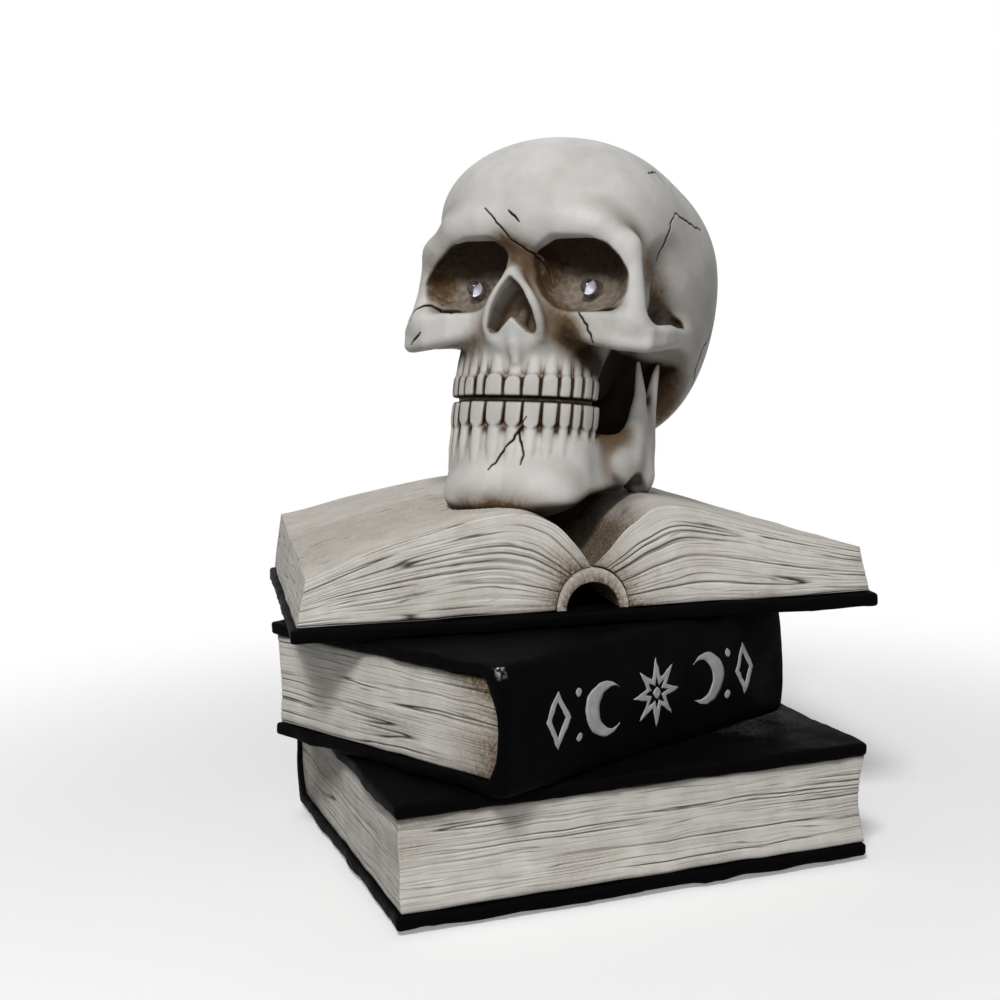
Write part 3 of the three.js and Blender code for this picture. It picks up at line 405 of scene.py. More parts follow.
def page_block(size, at, seed, room=None, flare=0.0):
    """The pages of a closed book, scored on their fore edge and at both ends, and their paint."""
    length, depth, height = size
    low, high = BOARD + SEAT, height - BOARD - SEAT
    back = -depth / 2 + SPINE_WALL + PAGE_ROUND + SEAT
    edge = depth / 2 - SQUARE
    extent = (edge - back, high - low, length - 2 * SQUARE)
    pitches = (PAGE_PITCH, PAGE_LAYER, PAGE_PITCH)
    hollow = None
    if room is not None:
        x0, x1, y0, y1, deep = room

        def hollow(u, v, w):
            across = extent[2] / 2 - w
            return (u > -y1 - back) & (u < -y0 - back) & (across > x0) & (across < x1) & (v < deep - low)
    places, quads = lattice_skin([steps(*side, PAGE_EDGE) for side in zip(extent, pitches)], hollow)
    u, v, w = places.T
    at_front, at_start, at_end = u == extent[0], w == 0, w == extent[2]
    along = w - np.where(at_start, extent[0] - u, 0) + np.where(at_end, extent[0] - u, 0)
    bold, fine = page_lines(along, v, seed)
    depth_in = 0.62 * bold + 0.25 * fine
    places = rounded(places, extent, PAGE_EDGE)
    places[:, 0] -= np.where(at_front, depth_in, 0)
    places[:, 2] += np.where(at_start, depth_in, 0) - np.where(at_end, depth_in, 0)
    share = places[:, 1] / extent[1]
    places[:, 2] -= flare * (2 * share - 1) ** 2 * np.clip(1 - w / 14, 0, 1)
    near = back - round_back(share, PAGE_ROUND)
    far = edge - round_back(share, FORE_EDGE_HOLLOW)
    y = near + (far - near) * places[:, 0] / extent[0]
    points = np.stack([places[:, 2] - extent[2] / 2, y, low + places[:, 1]], axis=1)
    cover = np.exp(-np.minimum(v, extent[1] - v) / 0.9)
    spine = np.exp(-u / 14)
    patch = np.clip(unevenness(on_sheet(along, v), (24, 9, 1), seed + 7), 0, 1)
    paint = {
        "grime": np.clip(0.95 * bold + 0.25 * fine + 0.7 * cover, 0, 1),
        "stain": np.clip(0.75 * spine + 0.35 * cover + 0.42 * patch, 0, 1),
        "run": along, "leaf": v, "edge": np.ones(len(v)),
    }
    return laid(points + 0.25 * shaken(points, 8.0, seed + 11), *at), quads, paint


# Matt black acrylic over resin: it hardly shines, and is scuffed grey where it has rubbed. The grey patch on
# the lowest book's top board is wear and a painted sheen together.
cover_paint, tree, surface, spot = new_finish("matt black paint", {"Specular IOR Level": 0.02})
cloudy = add_node(
    tree, "TexNoise", {"Vector": spot, "Scale": 1 / (COVER_CLOUD * MM), "Detail": 6.0, "Roughness": 0.65})
speck = add_node(
    tree, "TexNoise", {"Vector": spot, "Scale": 1 / (COVER_SPECK * MM), "Detail": 4.0, "Roughness": 0.7})
scuff = add_node(tree, "Attribute", out="Fac", attribute_name="scuff")
chip = add_node(tree, "Attribute", out="Fac", attribute_name="chip")
rubbed = add_node(tree, "Math", {0: scuff, 1: cloudy}, operation="MULTIPLY")
rubbed = add_node(tree, "Math", {0: rubbed, 1: speck}, operation="MULTIPLY")
rubbed = add_node(tree, "MapRange", {"Value": rubbed, "From Min": 0.12, "From Max": 0.5})
flake = add_node(tree, "MapRange", {"Value": speck, "From Min": 0.5, "From Max": 0.58})
flake = add_node(tree, "Math", {0: flake, 1: chip}, operation="MULTIPLY")
tint = add_node(tree, "Mix", {SHARE: cloudy, FROM: "#030304", TO: "#080809"}, MIXED, data_type="RGBA")
worn = add_node(tree, "Mix", {SHARE: rubbed, FROM: tint, TO: "#6e6b66"}, MIXED, data_type="RGBA")
bare = add_node(tree, "Mix", {SHARE: flake, FROM: worn, TO: "#c9c6bf"}, MIXED, data_type="RGBA")
gloss = add_node(
    tree, "MapRange", {"Value": cloudy, "From Min": 0.3, "From Max": 0.7, "To Min": 0.5, "To Max": 0.7})
brush = add_node(tree, "Bump", {"Height": speck, "Strength": 0.22, "Distance": 0.12 * MM})
feed(surface, {"Base Color": bare, "Roughness": gloss, "Normal": brush})

# Cream acrylic with a brown wash wiped off it: the wash stays in scored lines and corners, and tints the rest
# unevenly. Between the scored lines, fine dark hairs stand for the leaves. In the open book's fold, under its
# arch and round the jaw, the dark and the brown are painted shade as well.
page_paint, tree, surface, spot = new_finish(
    "washed cream paint", {"Roughness": 0.72, "Specular IOR Level": 0.15})
blotch = add_node(
    tree, "TexNoise", {"Vector": spot, "Scale": 1 / (PAGE_BLOTCH * MM), "Detail": 5.0, "Roughness": 0.6})
grit = add_node(
    tree, "TexNoise", {"Vector": spot, "Scale": 1 / (PAGE_GRIT * MM), "Detail": 4.0, "Roughness": 0.65})
grime, stain, run, leaf, edge = (
    add_node(tree, "Attribute", out="Fac", attribute_name=name)
    for name in ("grime", "stain", "run", "leaf", "edge"))
even = add_node(tree, "MapRange", {"Value": blotch, "From Min": 0.3, "From Max": 0.7})
cream = add_node(tree, "Mix", {SHARE: even, FROM: "#d8d3c9", TO: "#efebe4"}, MIXED, data_type="RGBA")
thin = add_node(tree, "Math", {0: stain, 1: grit}, operation="MULTIPLY")
thin = add_node(tree, "MapRange", {"Value": thin, "From Min": 0.05, "From Max": 0.55})
tinted = add_node(tree, "Mix", {SHARE: thin, FROM: cream, TO: "#6f5a41"}, MIXED, data_type="RGBA")
on_edge = add_node(tree, "CombineXYZ", {"X": run, "Y": leaf})
drawn_out = add_node(tree, "Mapping", {"Vector": on_edge, "Scale": (1 / LEAF_RUN, 1 / (4 * LEAF_PITCH), 1)})
sway = add_node(tree, "TexNoise", {"Vector": drawn_out, "Scale": 1.0, "Detail": 2.0})
sway = add_node(tree, "MapRange", {"Value": sway, "To Min": -2.5 * LEAF_PITCH, "To Max": 2.5 * LEAF_PITCH})
swayed = add_node(tree, "Math", {0: leaf, 1: sway}, operation="ADD")
away = add_node(tree, "Math", {0: swayed, 1: LEAF_PITCH / 2}, operation="PINGPONG")
hair = add_node(
    tree, "MapRange", {"Value": away, "From Min": 0.03, "From Max": 0.16, "To Min": 0.8, "To Max": 0.0})
spread = add_node(tree, "Mapping", {"Vector": on_edge, "Scale": (1 / LEAF_PATCH[0], 1 / LEAF_PATCH[1], 1)})
comes = add_node(tree, "TexNoise", {"Vector": spread, "Scale": 1.0, "Detail": 1.0})
comes = add_node(tree, "MapRange", {"Value": comes, "From Min": 0.38, "From Max": 0.68})
hair = add_node(tree, "Math", {0: hair, 1: comes}, operation="MULTIPLY")
hair = add_node(tree, "Math", {0: hair, 1: edge}, operation="MULTIPLY")
grime = add_node(tree, "Math", {0: grime, 1: hair}, operation="MAXIMUM")
held = add_node(tree, "Mix", {SHARE: grime, FROM: tinted, TO: "#2a1f16"}, MIXED, data_type="RGBA")
strokes = add_node(tree, "Bump", {"Height": grit, "Strength": 0.3, "Distance": 0.15 * MM})
feed(surface, {"Base Color": held, "Normal": strokes})

points, quads = book_case(BASE_SIZE, 10, TRAY_ROOM)
points = laid(points, *BASE_AT)
top = points[:, 2] > BASE_AT[2] + BASE_SIZE[2] - 1.5
# A lighter patch on the top board: wear, and a painted sheen where the board would catch the light
rubbed_corner = np.exp(-np.linalg.norm(points[:, :2] - RUBBED_AT, axis=1) / RUBBED_REACH)
scuff = np.where(top, 0.9 * rubbed_corner, 0.0) + COVER_SCUFF
add_piece(
    "bottom_case", points, quads, cover_paint, "cover", ("bottom_book_cover",),
    scuff=scuff, chip=np.zeros(len(points)),
)
points, quads, paint = page_block(BASE_SIZE, BASE_AT, 40, TRAY_ROOM, flare=1.3)
add_piece("bottom_pages", points, quads, page_paint, "pages", ("bottom_book_pages",), **paint)

# Middle book: like the lowest, a little smaller and lying askew, with its spine to the front. The spine
# carries a light-grey band of stars, moons and lozenges, brushed on by hand.
MIDDLE_SIZE = (128.6, 106.0, 37.2)
MIDDLE_AT = (-9.7, 0.6, 37.8, 24.7)
MIDDLE_SEED = 70
PAINT_FILM = 0.22
PAINT_RIM = 0.05  # how far the film's rim goes down into the cover
PAINT_STREAK = 2.2
PAINT_RAGGED = 0.22
BAND_HEIGHT = 18.2  # middle of the painted band, above the book's foot
MOON_OUT, DOT_OUT, LOZENGE_OUT = 23.5, 34.2, 42.5  # from the star, along the spine
DOT_UP = 6.6
PINPOINT = 0.05  # radius at which a filled mark closes

points, quads = book_case(MIDDLE_SIZE, MIDDLE_SEED)
spine_corner = (-MIDDLE_SIZE[0] / 2 + 1.0, -MIDDLE_SIZE[1] / 2 + SPINE_ROUND + 0.5, MIDDLE_SIZE[2] - 0.6)
chip = np.clip(1.6 - np.linalg.norm((points - spine_corner) * (0.9, 1, 0.5), axis=1), 0, 1)
add_piece(
    "middle_case", laid(points, *MIDDLE_AT), quads, cover_paint, "cover", ("middle_book_cover",),
    scuff=np.full(len(points), COVER_SCUFF), chip=chip,
)
points, quads, paint = page_block(MIDDLE_SIZE, MIDDLE_AT, 100)
add_piece("middle_pages", points, quads, page_paint, "pages", ("middle_book_pages",), **paint)

# Light-grey acrylic: an opaque brushed film, thinner and darker in places.
grey_paint, tree, surface, spot = new_finish("light grey paint", {"Roughness": 0.6, "IOR": 1.48})
streak = add_node(
    tree, "TexNoise", {"Vector": spot, "Scale": 1 / (PAINT_STREAK * MM), "Detail": 5.0, "Roughness": 0.65})
tint = add_node(tree, "Mix", {SHARE: streak, FROM: "#8f908f", TO: "#c9cac8"}, MIXED, data_type="RGBA")
film = add_node(tree, "Bump", {"Height": streak, "Strength": 0.3, "Distance": 0.1 * MM})
feed(surface, {"Base Color": tint, "Normal": film})


def star(spikes, outer, inner, count):
    """Outline of a star round its middle, with straight sides."""
    turn = np.linspace(0, 2 * spikes, count, endpoint=False)
    corner = np.floor(turn).astype(int)
    share = (turn - corner)[:, None]
    angle = np.arange(2 * spikes + 1) * math.pi / spikes
    reach = np.where(np.arange(2 * spikes + 1) % 2 == 0, outer, inner)
    tips = reach[:, None] * np.stack([np.sin(angle), np.cos(angle)], axis=1)
    return tips[corner] * (1 - share) + tips[corner + 1] * share


def moon(radius, bite, count):
    """Outer and inner edge of a crescent that opens to the right."""
    angle = np.linspace(math.radians(42), math.radians(318), count)
    outer = radius * np.stack([np.cos(angle), np.sin(angle)], axis=1)
    hollow = np.linspace(math.radians(62), math.radians(298), count)
    inner = np.array([bite, 0]) + 0.78 * radius * np.stack([np.cos(hollow), np.sin(hollow)], axis=1)
    inner[0], inner[-1] = outer[0] * 0.995, outer[-1] * 0.995
    return outer, inner


def on_spine(marks):
    """Painted marks, as places along and up the spine, on the middle book's uneven spine."""
    across, up, thick = marks.T
    places = np.stack([MIDDLE_SIZE[1] + up, thick, MIDDLE_SIZE[0] / 2 + across], axis=1)
    return laid(wobble(softened_case(places, MIDDLE_SIZE), MIDDLE_SEED), *MIDDLE_AT)


def paint_mark(outer, inner, across, up, closed):
    """One brushed mark between two edges: a thin film with its rim turned down to the cover."""
    count = len(outer)
    shares = (0, 0.02, 0.25, 0.5, 0.75, 0.98, 1)
    marks = np.concatenate([
        np.column_stack([
            outer + (inner - outer) * share + (across, up),
            np.full(count, PAINT_RIM if share in (0, 1) else -PAINT_FILM),
        ]) for share in shares
    ])
    places = on_sheet(marks[:, 0], marks[:, 1])
    marks[:, :2] += PAINT_RAGGED * shaken(places, 1.7, 301)[:, :2]
    ring = np.arange(count if closed else count - 1)
    after = (ring + 1) % count
    quads = [
        np.stack([row + ring, row + after, row + count + after, row + count + ring], axis=1)
        for row in range(0, count * (len(shares) - 1), count)
    ]
    return on_spine(marks), np.concatenate(quads)


designs = [
    ("star", star(8, 10.6, 4.6, 96), star(8, 5.2, 2.4, 96), 0.0, 0.0, True),
    ("star_eye", star(4, 1.9, 1.6, 32), star(4, PINPOINT, PINPOINT, 32), 0.0, 0.0, True),
]
dot = star(4, 1.35, 1.2, 32), star(4, PINPOINT, PINPOINT, 32)
lozenge = star(2, 8.6, 4.8, 48), star(2, 5.2, 2.8, 48)
for word, side in (("left", -1), ("right", 1)):
    crescent = [edge * (-side, 1) for edge in moon(8.2, 3.4, 48)]
    designs.append((f"{word}_moon", *crescent, MOON_OUT * side, 0.0, False))
    designs.append((f"{word}_lozenge", *lozenge, LOZENGE_OUT * side, 0.0, True))
    designs.append((f"{word}_low_dot", *dot, DOT_OUT * side, -DOT_UP, True))
    designs.append((f"{word}_high_dot", *dot, DOT_OUT * side, DOT_UP, True))
for name, outer, inner, across, up, closed in designs:
    points, quads = paint_mark(outer, inner, across, up + BAND_HEIGHT, closed)
    add_piece(f"spine_{name}", points, quads, grey_paint, "cover")

# Open book: one flat black board with two leaning stacks of pages, and a small round arch under their fold.
# All of it is cast resin; leaf lines are scored along the page edges, and the gutter is washed dark brown,
# which is painted shade in the fold as well.
OPEN_SIZE = (184.0, 124.0, 4.2)
OPEN_AT = (7.9, 27.6, 75.3, -8.34)
OPEN_SQUARE = 3.0
PAGE_DEEP = OPEN_SIZE[1] - 2 * OPEN_SQUARE
PAGE_FOOT = OPEN_SIZE[2] + SEAT
PAGE_SLANT = 3.4
FORE_EDGE_RISE = 14.3
HUMP_RISE = 30.7
HUMP_REACH = 26.0
STACK_SKIN = (104.0, 24.0, PAGE_DEEP)  # along the leaves, up through them, from front to back
STACK_PITCH = (0.95, 0.26, 1.15)
ARCH_WIDTH = 22.5
ARCH_RISE = 11.4
ARCH_WALL = 3.0
ARCH_SKIN = (36.0, ARCH_WALL, PAGE_DEEP)  # round the arch, through its wall, from front to back
ARCH_PITCH = (0.6, 0.5, 1.4)
ARCH_EDGE = 0.3
ARCH_CORDS = 0.22
CROWN = 1.4  # how much thicker the arch is on top
PAGE_CREST = ARCH_RISE + CROWN

sides = [steps(*side, BOARD_EDGE) for side in zip(OPEN_SIZE, (BOARD_PITCH, BOARD_PITCH, BOARD_LAYER))]
places, quads = lattice_skin(sides)
points = wobble(rounded(places, OPEN_SIZE, BOARD_EDGE) - (OPEN_SIZE[0] / 2, OPEN_SIZE[1] / 2, 0), 130)
add_piece(
    "open_board", laid(points, *OPEN_AT), quads, cover_paint, "cover", ("open_book_cover",),
    scuff=np.full(len(points), COVER_SCUFF), chip=np.zeros(len(points)),
)


def through(knots, share):
    """Places at shares of a smooth line through these knots, evenly spaced along it."""
    knots = np.array(knots, float)
    ends = np.concatenate([[2 * knots[0] - knots[1]], knots, [2 * knots[-1] - knots[-2]]])
    t = np.linspace(0, 1, 40, endpoint=False)[:, None]
    fine = []
    for a, b, c, d in zip(ends, ends[1:], ends[2:], ends[3:]):
        bend = (2 * a - 5 * b + 4 * c - d) * t ** 2 + (3 * b - a - 3 * c + d) * t ** 3
        fine.append(0.5 * (2 * b + (c - a) * t + bend))
    fine = np.concatenate(fine + [knots[-1:]])
    walked = np.concatenate([[0], np.cumsum(np.linalg.norm(np.diff(fine, axis=0), axis=1))])
    return np.stack([np.interp(share * walked[-1], walked, column) for column in fine.T], axis=1)


def page_stack(side, fullness, shoulder, lift, tone, seed):
    """One stack of the open book, whose leaves run from the fore edge over a hump to the arched fold."""
    outer = OPEN_SIZE[0] / 2 - OPEN_SQUARE / 2
    fore_top = outer - PAGE_SLANT
    fall = HUMP_RISE - ARCH_RISE
    top_line = [(reach, PAGE_FOOT + rise) for reach, rise in (
        (fore_top, FORE_EDGE_RISE),
        (0.45 * HUMP_REACH + 0.55 * fore_top, FORE_EDGE_RISE + fullness * (HUMP_RISE - FORE_EDGE_RISE)),
        (HUMP_REACH, HUMP_RISE),
        (HUMP_REACH * 0.5, HUMP_RISE - shoulder * fall),
        (HUMP_REACH * 0.21, HUMP_RISE - (shoulder + 0.38) * fall),
        (SEAT, PAGE_CREST + SEAT),
    )]
    places, quads = lattice_skin([steps(*edge, PAGE_EDGE) for edge in zip(STACK_SKIN, STACK_PITCH)])
    u, v, w = places.T
    at_edge, at_front, at_back, at_top = u == 0, w == 0, w == PAGE_DEEP, v == STACK_SKIN[1]
    along = np.where(at_back, -PAGE_DEEP - u, np.where(at_front, u, -w))
    bold, fine = page_lines(along, v * 0.95, seed)
    score = 0.75 * bold + 0.3 * fine
    a, b, depth_in = rounded(places, STACK_SKIN, PAGE_EDGE).T
    a, b = a / STACK_SKIN[0], b / STACK_SKIN[1]
    depth_in = depth_in + np.where(at_front, score, 0) - np.where(at_back, score, 0)
    swing = np.radians(90 * b)
    half_arch = ARCH_WIDTH / 2 + SEAT
    fore = np.stack([outer - PAGE_SLANT * b, PAGE_FOOT + FORE_EDGE_RISE * b], axis=1)
    fold = np.stack([
        np.maximum(half_arch * np.cos(swing), SEAT), PAGE_FOOT + (PAGE_CREST + SEAT) * np.sin(swing)], axis=1)
    foot = np.stack([outer + (half_arch - outer) * a, np.full(len(a), PAGE_FOOT)], axis=1)
    top = through(top_line, a)
    corners = [np.array(c) for c in ((outer, PAGE_FOOT), (half_arch, PAGE_FOOT), top_line[0], top_line[-1])]
    a, b = a[:, None], b[:, None]
    flat = (1 - b) * foot + b * top + (1 - a) * fore + a * fold - (
        (1 - b) * ((1 - a) * corners[0] + a * corners[1]) + b * ((1 - a) * corners[2] + a * corners[3]))
    across = flat[:, 0] - np.where(at_edge, score, 0)
    outward = np.clip(across / outer, 0, 1)
    behind = np.clip(depth_in / PAGE_DEEP, 0, 1)
    raised = np.clip((flat[:, 1] - PAGE_FOOT) / FORE_EDGE_RISE, 0, 1)
    height = flat[:, 1] + lift * outward ** 4 * behind * raised
    points = np.stack([side * across, depth_in - PAGE_DEEP / 2, height], axis=1)
    points = points + 0.35 * shaken(points, 13.0, seed + 21)
    leaf = on_sheet(u, w)
    dash = np.clip(unevenness(leaf, (9, 1.3, 1), seed + 31) * 3 - 1.7, 0, 1)
    dash = dash * np.clip(unevenness(leaf, 17.0, seed + 32) + 0.35, 0, 1)
    rim = np.exp(-np.minimum(w, 12) / 1.2) * np.clip(0.3 + unevenness(leaf, (11, 3, 1), seed + 33), 0, 1)
    from_fold = STACK_SKIN[0] - u + 3.5 * unevenness(leaf, (6, 14, 1), seed + 36) - 0.15 * np.minimum(w, 60)
    foot_dirt = np.exp(-v / 0.8)
    patch = np.clip(unevenness(on_sheet(along, v), (22, 8, 1), seed + 35), 0, 1)
    # Darker towards the fold: wash, and painted shade in the gutter
    top_grime = 0.75 * dash + 0.55 * rim * (w < 6) + 0.35 * np.clip(1.4 - from_fold / 13, 0, 1)
    side_grime = 0.95 * bold + 0.25 * fine + 0.55 * foot_dirt
    top_stain = np.clip(1.5 - from_fold / 20, 0, 1) + tone
    side_stain = 0.8 * np.exp(-(STACK_SKIN[0] - u) / 9) + 0.4 * foot_dirt
    paint = {
        "grime": np.clip(np.where(at_top, top_grime, side_grime), 0, 1),
        "stain": np.clip(np.where(at_top, top_stain, side_stain) + 0.4 * patch, 0, 1),
        "run": along, "leaf": v, "edge": ~at_top,
    }
    return laid(points, *OPEN_AT), quads, paint


STACKS = [  # side, fullness of the slope, height of the shoulder, lift of the rear corner, darkening of the top, seed
    ("left", -1, 0.6, 0.15, 6.0, 0.25, 160),
    ("right", 1, 0.42, 0.28, -3.5, 0.0, 210),
]
open_stacks = {}
for word, *form in STACKS:
    points, quads, paint = page_stack(*form)
    open_stacks[word] = add_piece(
        f"open_{word}_pages", points, quads, page_paint, "pages", (f"open_book_{word}_pages",), **paint)

places, quads = lattice_skin([steps(*side, ARCH_EDGE) for side in zip(ARCH_SKIN, ARCH_PITCH)])
turn, wall, depth_in = rounded(places, ARCH_SKIN, ARCH_EDGE).T
turn = math.pi * turn / ARCH_SKIN[0]
cords = ARCH_CORDS * unevenness(on_sheet(places[:, 0], places[:, 1]), (1.1, 2.0, 1), 251)
depth_in = depth_in + np.where(places[:, 2] == 0, ARCH_CORDS + cords, 0)
rise = PAGE_CREST - wall * (1 + CROWN / ARCH_WALL)
half = ARCH_WIDTH / 2 - wall
points = np.stack([half * np.cos(turn), depth_in - PAGE_DEEP / 2, PAGE_FOOT + rise * np.sin(turn)], axis=1)
inside = places[:, 1] / ARCH_WALL
# Under the arch the pages are painted brown and darker: painted shade inside it
add_piece(
    "open_page_arch", laid(points, *OPEN_AT), quads, page_paint, "pages", ("open_book_page_arch",),
    grime=np.clip(0.3 * (inside > 0.95) + 0.35 * np.clip(-cords * 5, 0, 1), 0, 1),
    stain=np.clip(0.35 + 0.65 * inside, 0, 1),
)

# Lower jaw: cast with the skull's own resin and glued to the left page at the chin and to the skull's base.
# It is sculpted here as a field: its rods, balls and slabs melt into each other as worked clay does.
HEAD_AT = np.array([22.9, 33.0, 182.1])
HEAD_TURN, HEAD_TILT, HEAD_LEAN = -45.7, -14.0, 0.8
head_axes = np.array(
    Matrix.Rotation(math.radians(HEAD_TURN), 3, "Z")
    @ Matrix.Rotation(math.radians(HEAD_TILT), 3, "X")
    @ Matrix.Rotation(math.radians(HEAD_LEAN), 3, "Y")
)
SCULPT_PITCH = 0.6
DENTAL_WIDTH, DENTAL_DEPTH, DENTAL_FRONT, DENTAL_MIDDLE = 24.2, 15.0, 43.5, -2.2
TOOTH_GAP = 0.35
BITE = -50.3
BITE_GAP = 1.5
BITE_RISE = 0.1  # the bite line climbs to the back
LOWER_EDGES = (-32, -27.3, -22.8, -18.3, -12.4, -6.3, 0.5, 6.7, 12.7, 18, 22.3, 26.2, 31.7, 36.8)
CRACK_REACH = 1.2
CRACK_FINE = 1.1  # how far from a crack the skin is split finer
CRACK_DEPTH = 0.55
CHIN_BED = 0.3
BONE_CLOUD = 16.0
BONE_BRISTLE = 1.8


def head_to_ornament(points):
    """From the skull's own left, forward and up to the whole ornament's frame."""
    return (points * (1, -1, 1)) @ head_axes.T + HEAD_AT


def ornament_to_head(points):
    """From the whole ornament's frame to the skull's own left, forward and up."""
    return ((points - HEAD_AT) @ head_axes) * (1, -1, 1)


def melt(a, b, reach):
    """Two forms joined, with a fillet."""
    h = np.maximum(reach - np.abs(a - b), 0) / reach
    return np.minimum(a, b) - h * h * reach / 4


def carve(a, b, reach):
    """The first form with the second cut out of it."""
    return -melt(-a, b, reach)


def ball(p, centre, radii):
    """Distance from an egg shape."""
    q = [(p[i] - centre[i]) / radii[i] for i in range(3)]
    k0 = np.sqrt(q[0] ** 2 + q[1] ** 2 + q[2] ** 2)
    k1 = np.sqrt((q[0] / radii[0]) ** 2 + (q[1] / radii[1]) ** 2 + (q[2] / radii[2]) ** 2)
    return k0 * (k0 - 1) / np.maximum(k1, 1e-6)


def rope(p, points):
    """Distance from a run of rods through points given with their radii."""
    d = None
    for (a, ra), (b, rb) in zip(points, points[1:]):
        ab = np.subtract(b, a)
        t = sum((p[i] - a[i]) * ab[i] for i in range(3)) / np.dot(ab, ab)
        t = np.clip(t, 0, 1)
        rod = np.sqrt(sum((p[i] - a[i] - ab[i] * t) ** 2 for i in range(3))) - (ra + (rb - ra) * t)
        d = rod if d is None else np.minimum(d, rod)
    return d


def slab(u, v, half_u, half_v, radius):
    """Distance from a rectangle with round corners."""
    a = np.abs(u) - (half_u - radius)
    b = np.abs(v) - (half_v - radius)
    return np.hypot(np.maximum(a, 0), np.maximum(b, 0)) + np.minimum(np.maximum(a, b), 0) - radius


def dental_arch(x, f, grow):
    """Distance from the line of the teeth: half an ellipse in front, straight sides behind it."""
    wide, deep = DENTAL_WIDTH + grow, DENTAL_DEPTH + grow
    g = np.maximum(f - (DENTAL_FRONT - DENTAL_DEPTH), 0)
    k0 = np.hypot(x / wide, g / deep)
    return k0 * (k0 - 1) / np.maximum(np.hypot(x / wide ** 2, g / deep ** 2), 1e-3)


swing = np.linspace(0, math.pi / 2, 400)
arch_x, arch_f = DENTAL_WIDTH * np.sin(swing), DENTAL_FRONT - DENTAL_DEPTH + DENTAL_DEPTH * np.cos(swing)
walked = np.concatenate([[0], np.cumsum(np.hypot(np.diff(arch_x), np.diff(arch_f)))])


def on_arch(along):
    """Place on the dental arch that far along it from its middle, and the direction out of it."""
    angle = np.interp(abs(along), walked, swing)
    straight = max(abs(along) - walked[-1], 0)
    side = 1 if along > 0 else -1
    out = np.array([math.sin(angle) / DENTAL_WIDTH, math.cos(angle) / DENTAL_DEPTH])
    out /= np.linalg.norm(out)
    forward = DENTAL_FRONT - DENTAL_DEPTH + DENTAL_DEPTH * math.cos(angle) - straight
    return DENTAL_MIDDLE + side * DENTAL_WIDTH * math.sin(angle), forward, side * out[0], out[1]


def with_teeth(d, p, edges, gum, bite, thick, inset, root, swell, seed):
    """A jaw's field with its crowns, and the ridges that their roots raise in the gum."""
    luck = np.random.default_rng(seed)
    x, f, z = p
    near = (np.abs(z - (gum + bite) / 2) < 28) & (f > -8)
    if not near.any():
        return d
    x, f = x[near], f[near]
    z = z[near] - BITE_RISE * np.clip(DENTAL_FRONT - f, 0, 30)
    way = 1 if gum > bite else -1
    # A solid core inside the crowns closes the mouth; it is painted black later, as the shade inside the
    # mouth
    core = dental_arch(x - DENTAL_MIDDLE, f, thick / 2 - inset - 1.6)
    core = carve(core, abs(gum - bite) / 2 - np.abs(z - (gum + bite) / 2), 1)
    part = melt(d[near], carve(core, f - on_arch(edges[-1])[1] - 0.6, 1), 1)
    for start, end in zip(edges, edges[1:]):
        tx, tf, nx, nf = on_arch((start + end) / 2)
        half = (end - start - TOOTH_GAP) / 2
        top = gum + luck.uniform(-0.5, 0.5)
        push = luck.uniform(-0.25, 0.2)
        twist = luck.uniform(-0.06, 0.06)
        dx, df = x - tx + nx * (inset - push), f - tf + nf * (inset - push)
        u = dx * nf - df * nx
        n = dx * nx + df * nf + twist * u
        v = (z - (top + bite) / 2) * way
        tall = abs(top - bite) / 2
        outline = slab(u * (1 + 0.05 * v / tall), v, half, tall, np.where(v > 0, 0.85 * half, 0.7))
        crown = carve(outline, thick / 2 - 0.28 * (u / half) ** 2 - 0.25 * (v / tall) ** 2 - np.abs(n), 1.0)
        ridge = rope([u, n, v - tall], [
            ((0, thick / 2 - 0.4 - 0.92 * half, -2.5), 0.92 * half),
            ((0, thick / 2 - 0.55 + swell - 0.85 * half, root * 0.5), 0.85 * half),
            ((0, thick / 2 - 1.1 + swell - 0.5 * half, root), 0.5 * half)])
        part = melt(part, ridge, 0.5)
        part = melt(part, crown, 0.3)
    d = d.copy()
    d[near] = part
    return d


def jaw_field(p):
    """The lower jaw: a horseshoe body, chin bumps, two prongs each side, and the lower teeth."""
    x, f, z = p
    m = [np.abs(x), f, z]
    behind = np.maximum(30 - f, 0)
    spread = 0.22 * behind ** 2 / (behind + 8) + 0.1 * np.maximum(-60 - z, 0)
    across = np.sign(x) * np.maximum(m[0] - spread, 0) + 1.2
    lower = -86 + 0.32 * (43 - f) + 3 * np.exp(-((x - 17) / 7) ** 2)
    upper = -57.5 + 0.1 * np.maximum(25 - f, 0)
    wall = carve(dental_arch(across, f, -0.7), dental_arch(across, f, -10.5), 3)
    d = carve(carve(wall, np.minimum(z - lower, upper - z), 6), f + 7, 5)
    d = melt(d, ball(m, (8, 37, -79), (13, 7.5, 7.5)), 7)  # chin
    rear = rope(m, [
        ((27.2, -3.6, -66), 4.1), ((27.6, -3.2, -55), 3.4), ((28.6, -3.2, -45), 2.4), ((29.6, -5, -29), 0.8)])
    fore = rope(m, [
        ((26.6, 7, -63), 4.0), ((27.6, 4.4, -50), 2.7), ((28.4, 5.2, -42), 2.0), ((29.1, 11, -32.5), 0.7)])
    ramus = melt(rear, fore, 3)
    ramus = melt(ramus, ball(m, (27.8, 0.6, -56), (3, 6, 12)), 3)
    ramus = melt(ramus, ball(m, (26.6, 10, -66), (3.6, 9, 6.5)), 4)
    ramus = melt(ramus, ball(m, (27.2, -3.4, -69), (3.4, 5, 5.4)), 3)
    d = carve(melt(d, ramus, 5), ball(m, (29, 4.8, -75), (9, 5.6, 6.2)), 2.5)
    return with_teeth(
        d, p, LOWER_EDGES, gum=-59.5, bite=BITE - BITE_GAP / 2,
        thick=6.0, inset=2.4, root=13.0, swell=0.5, seed=5)


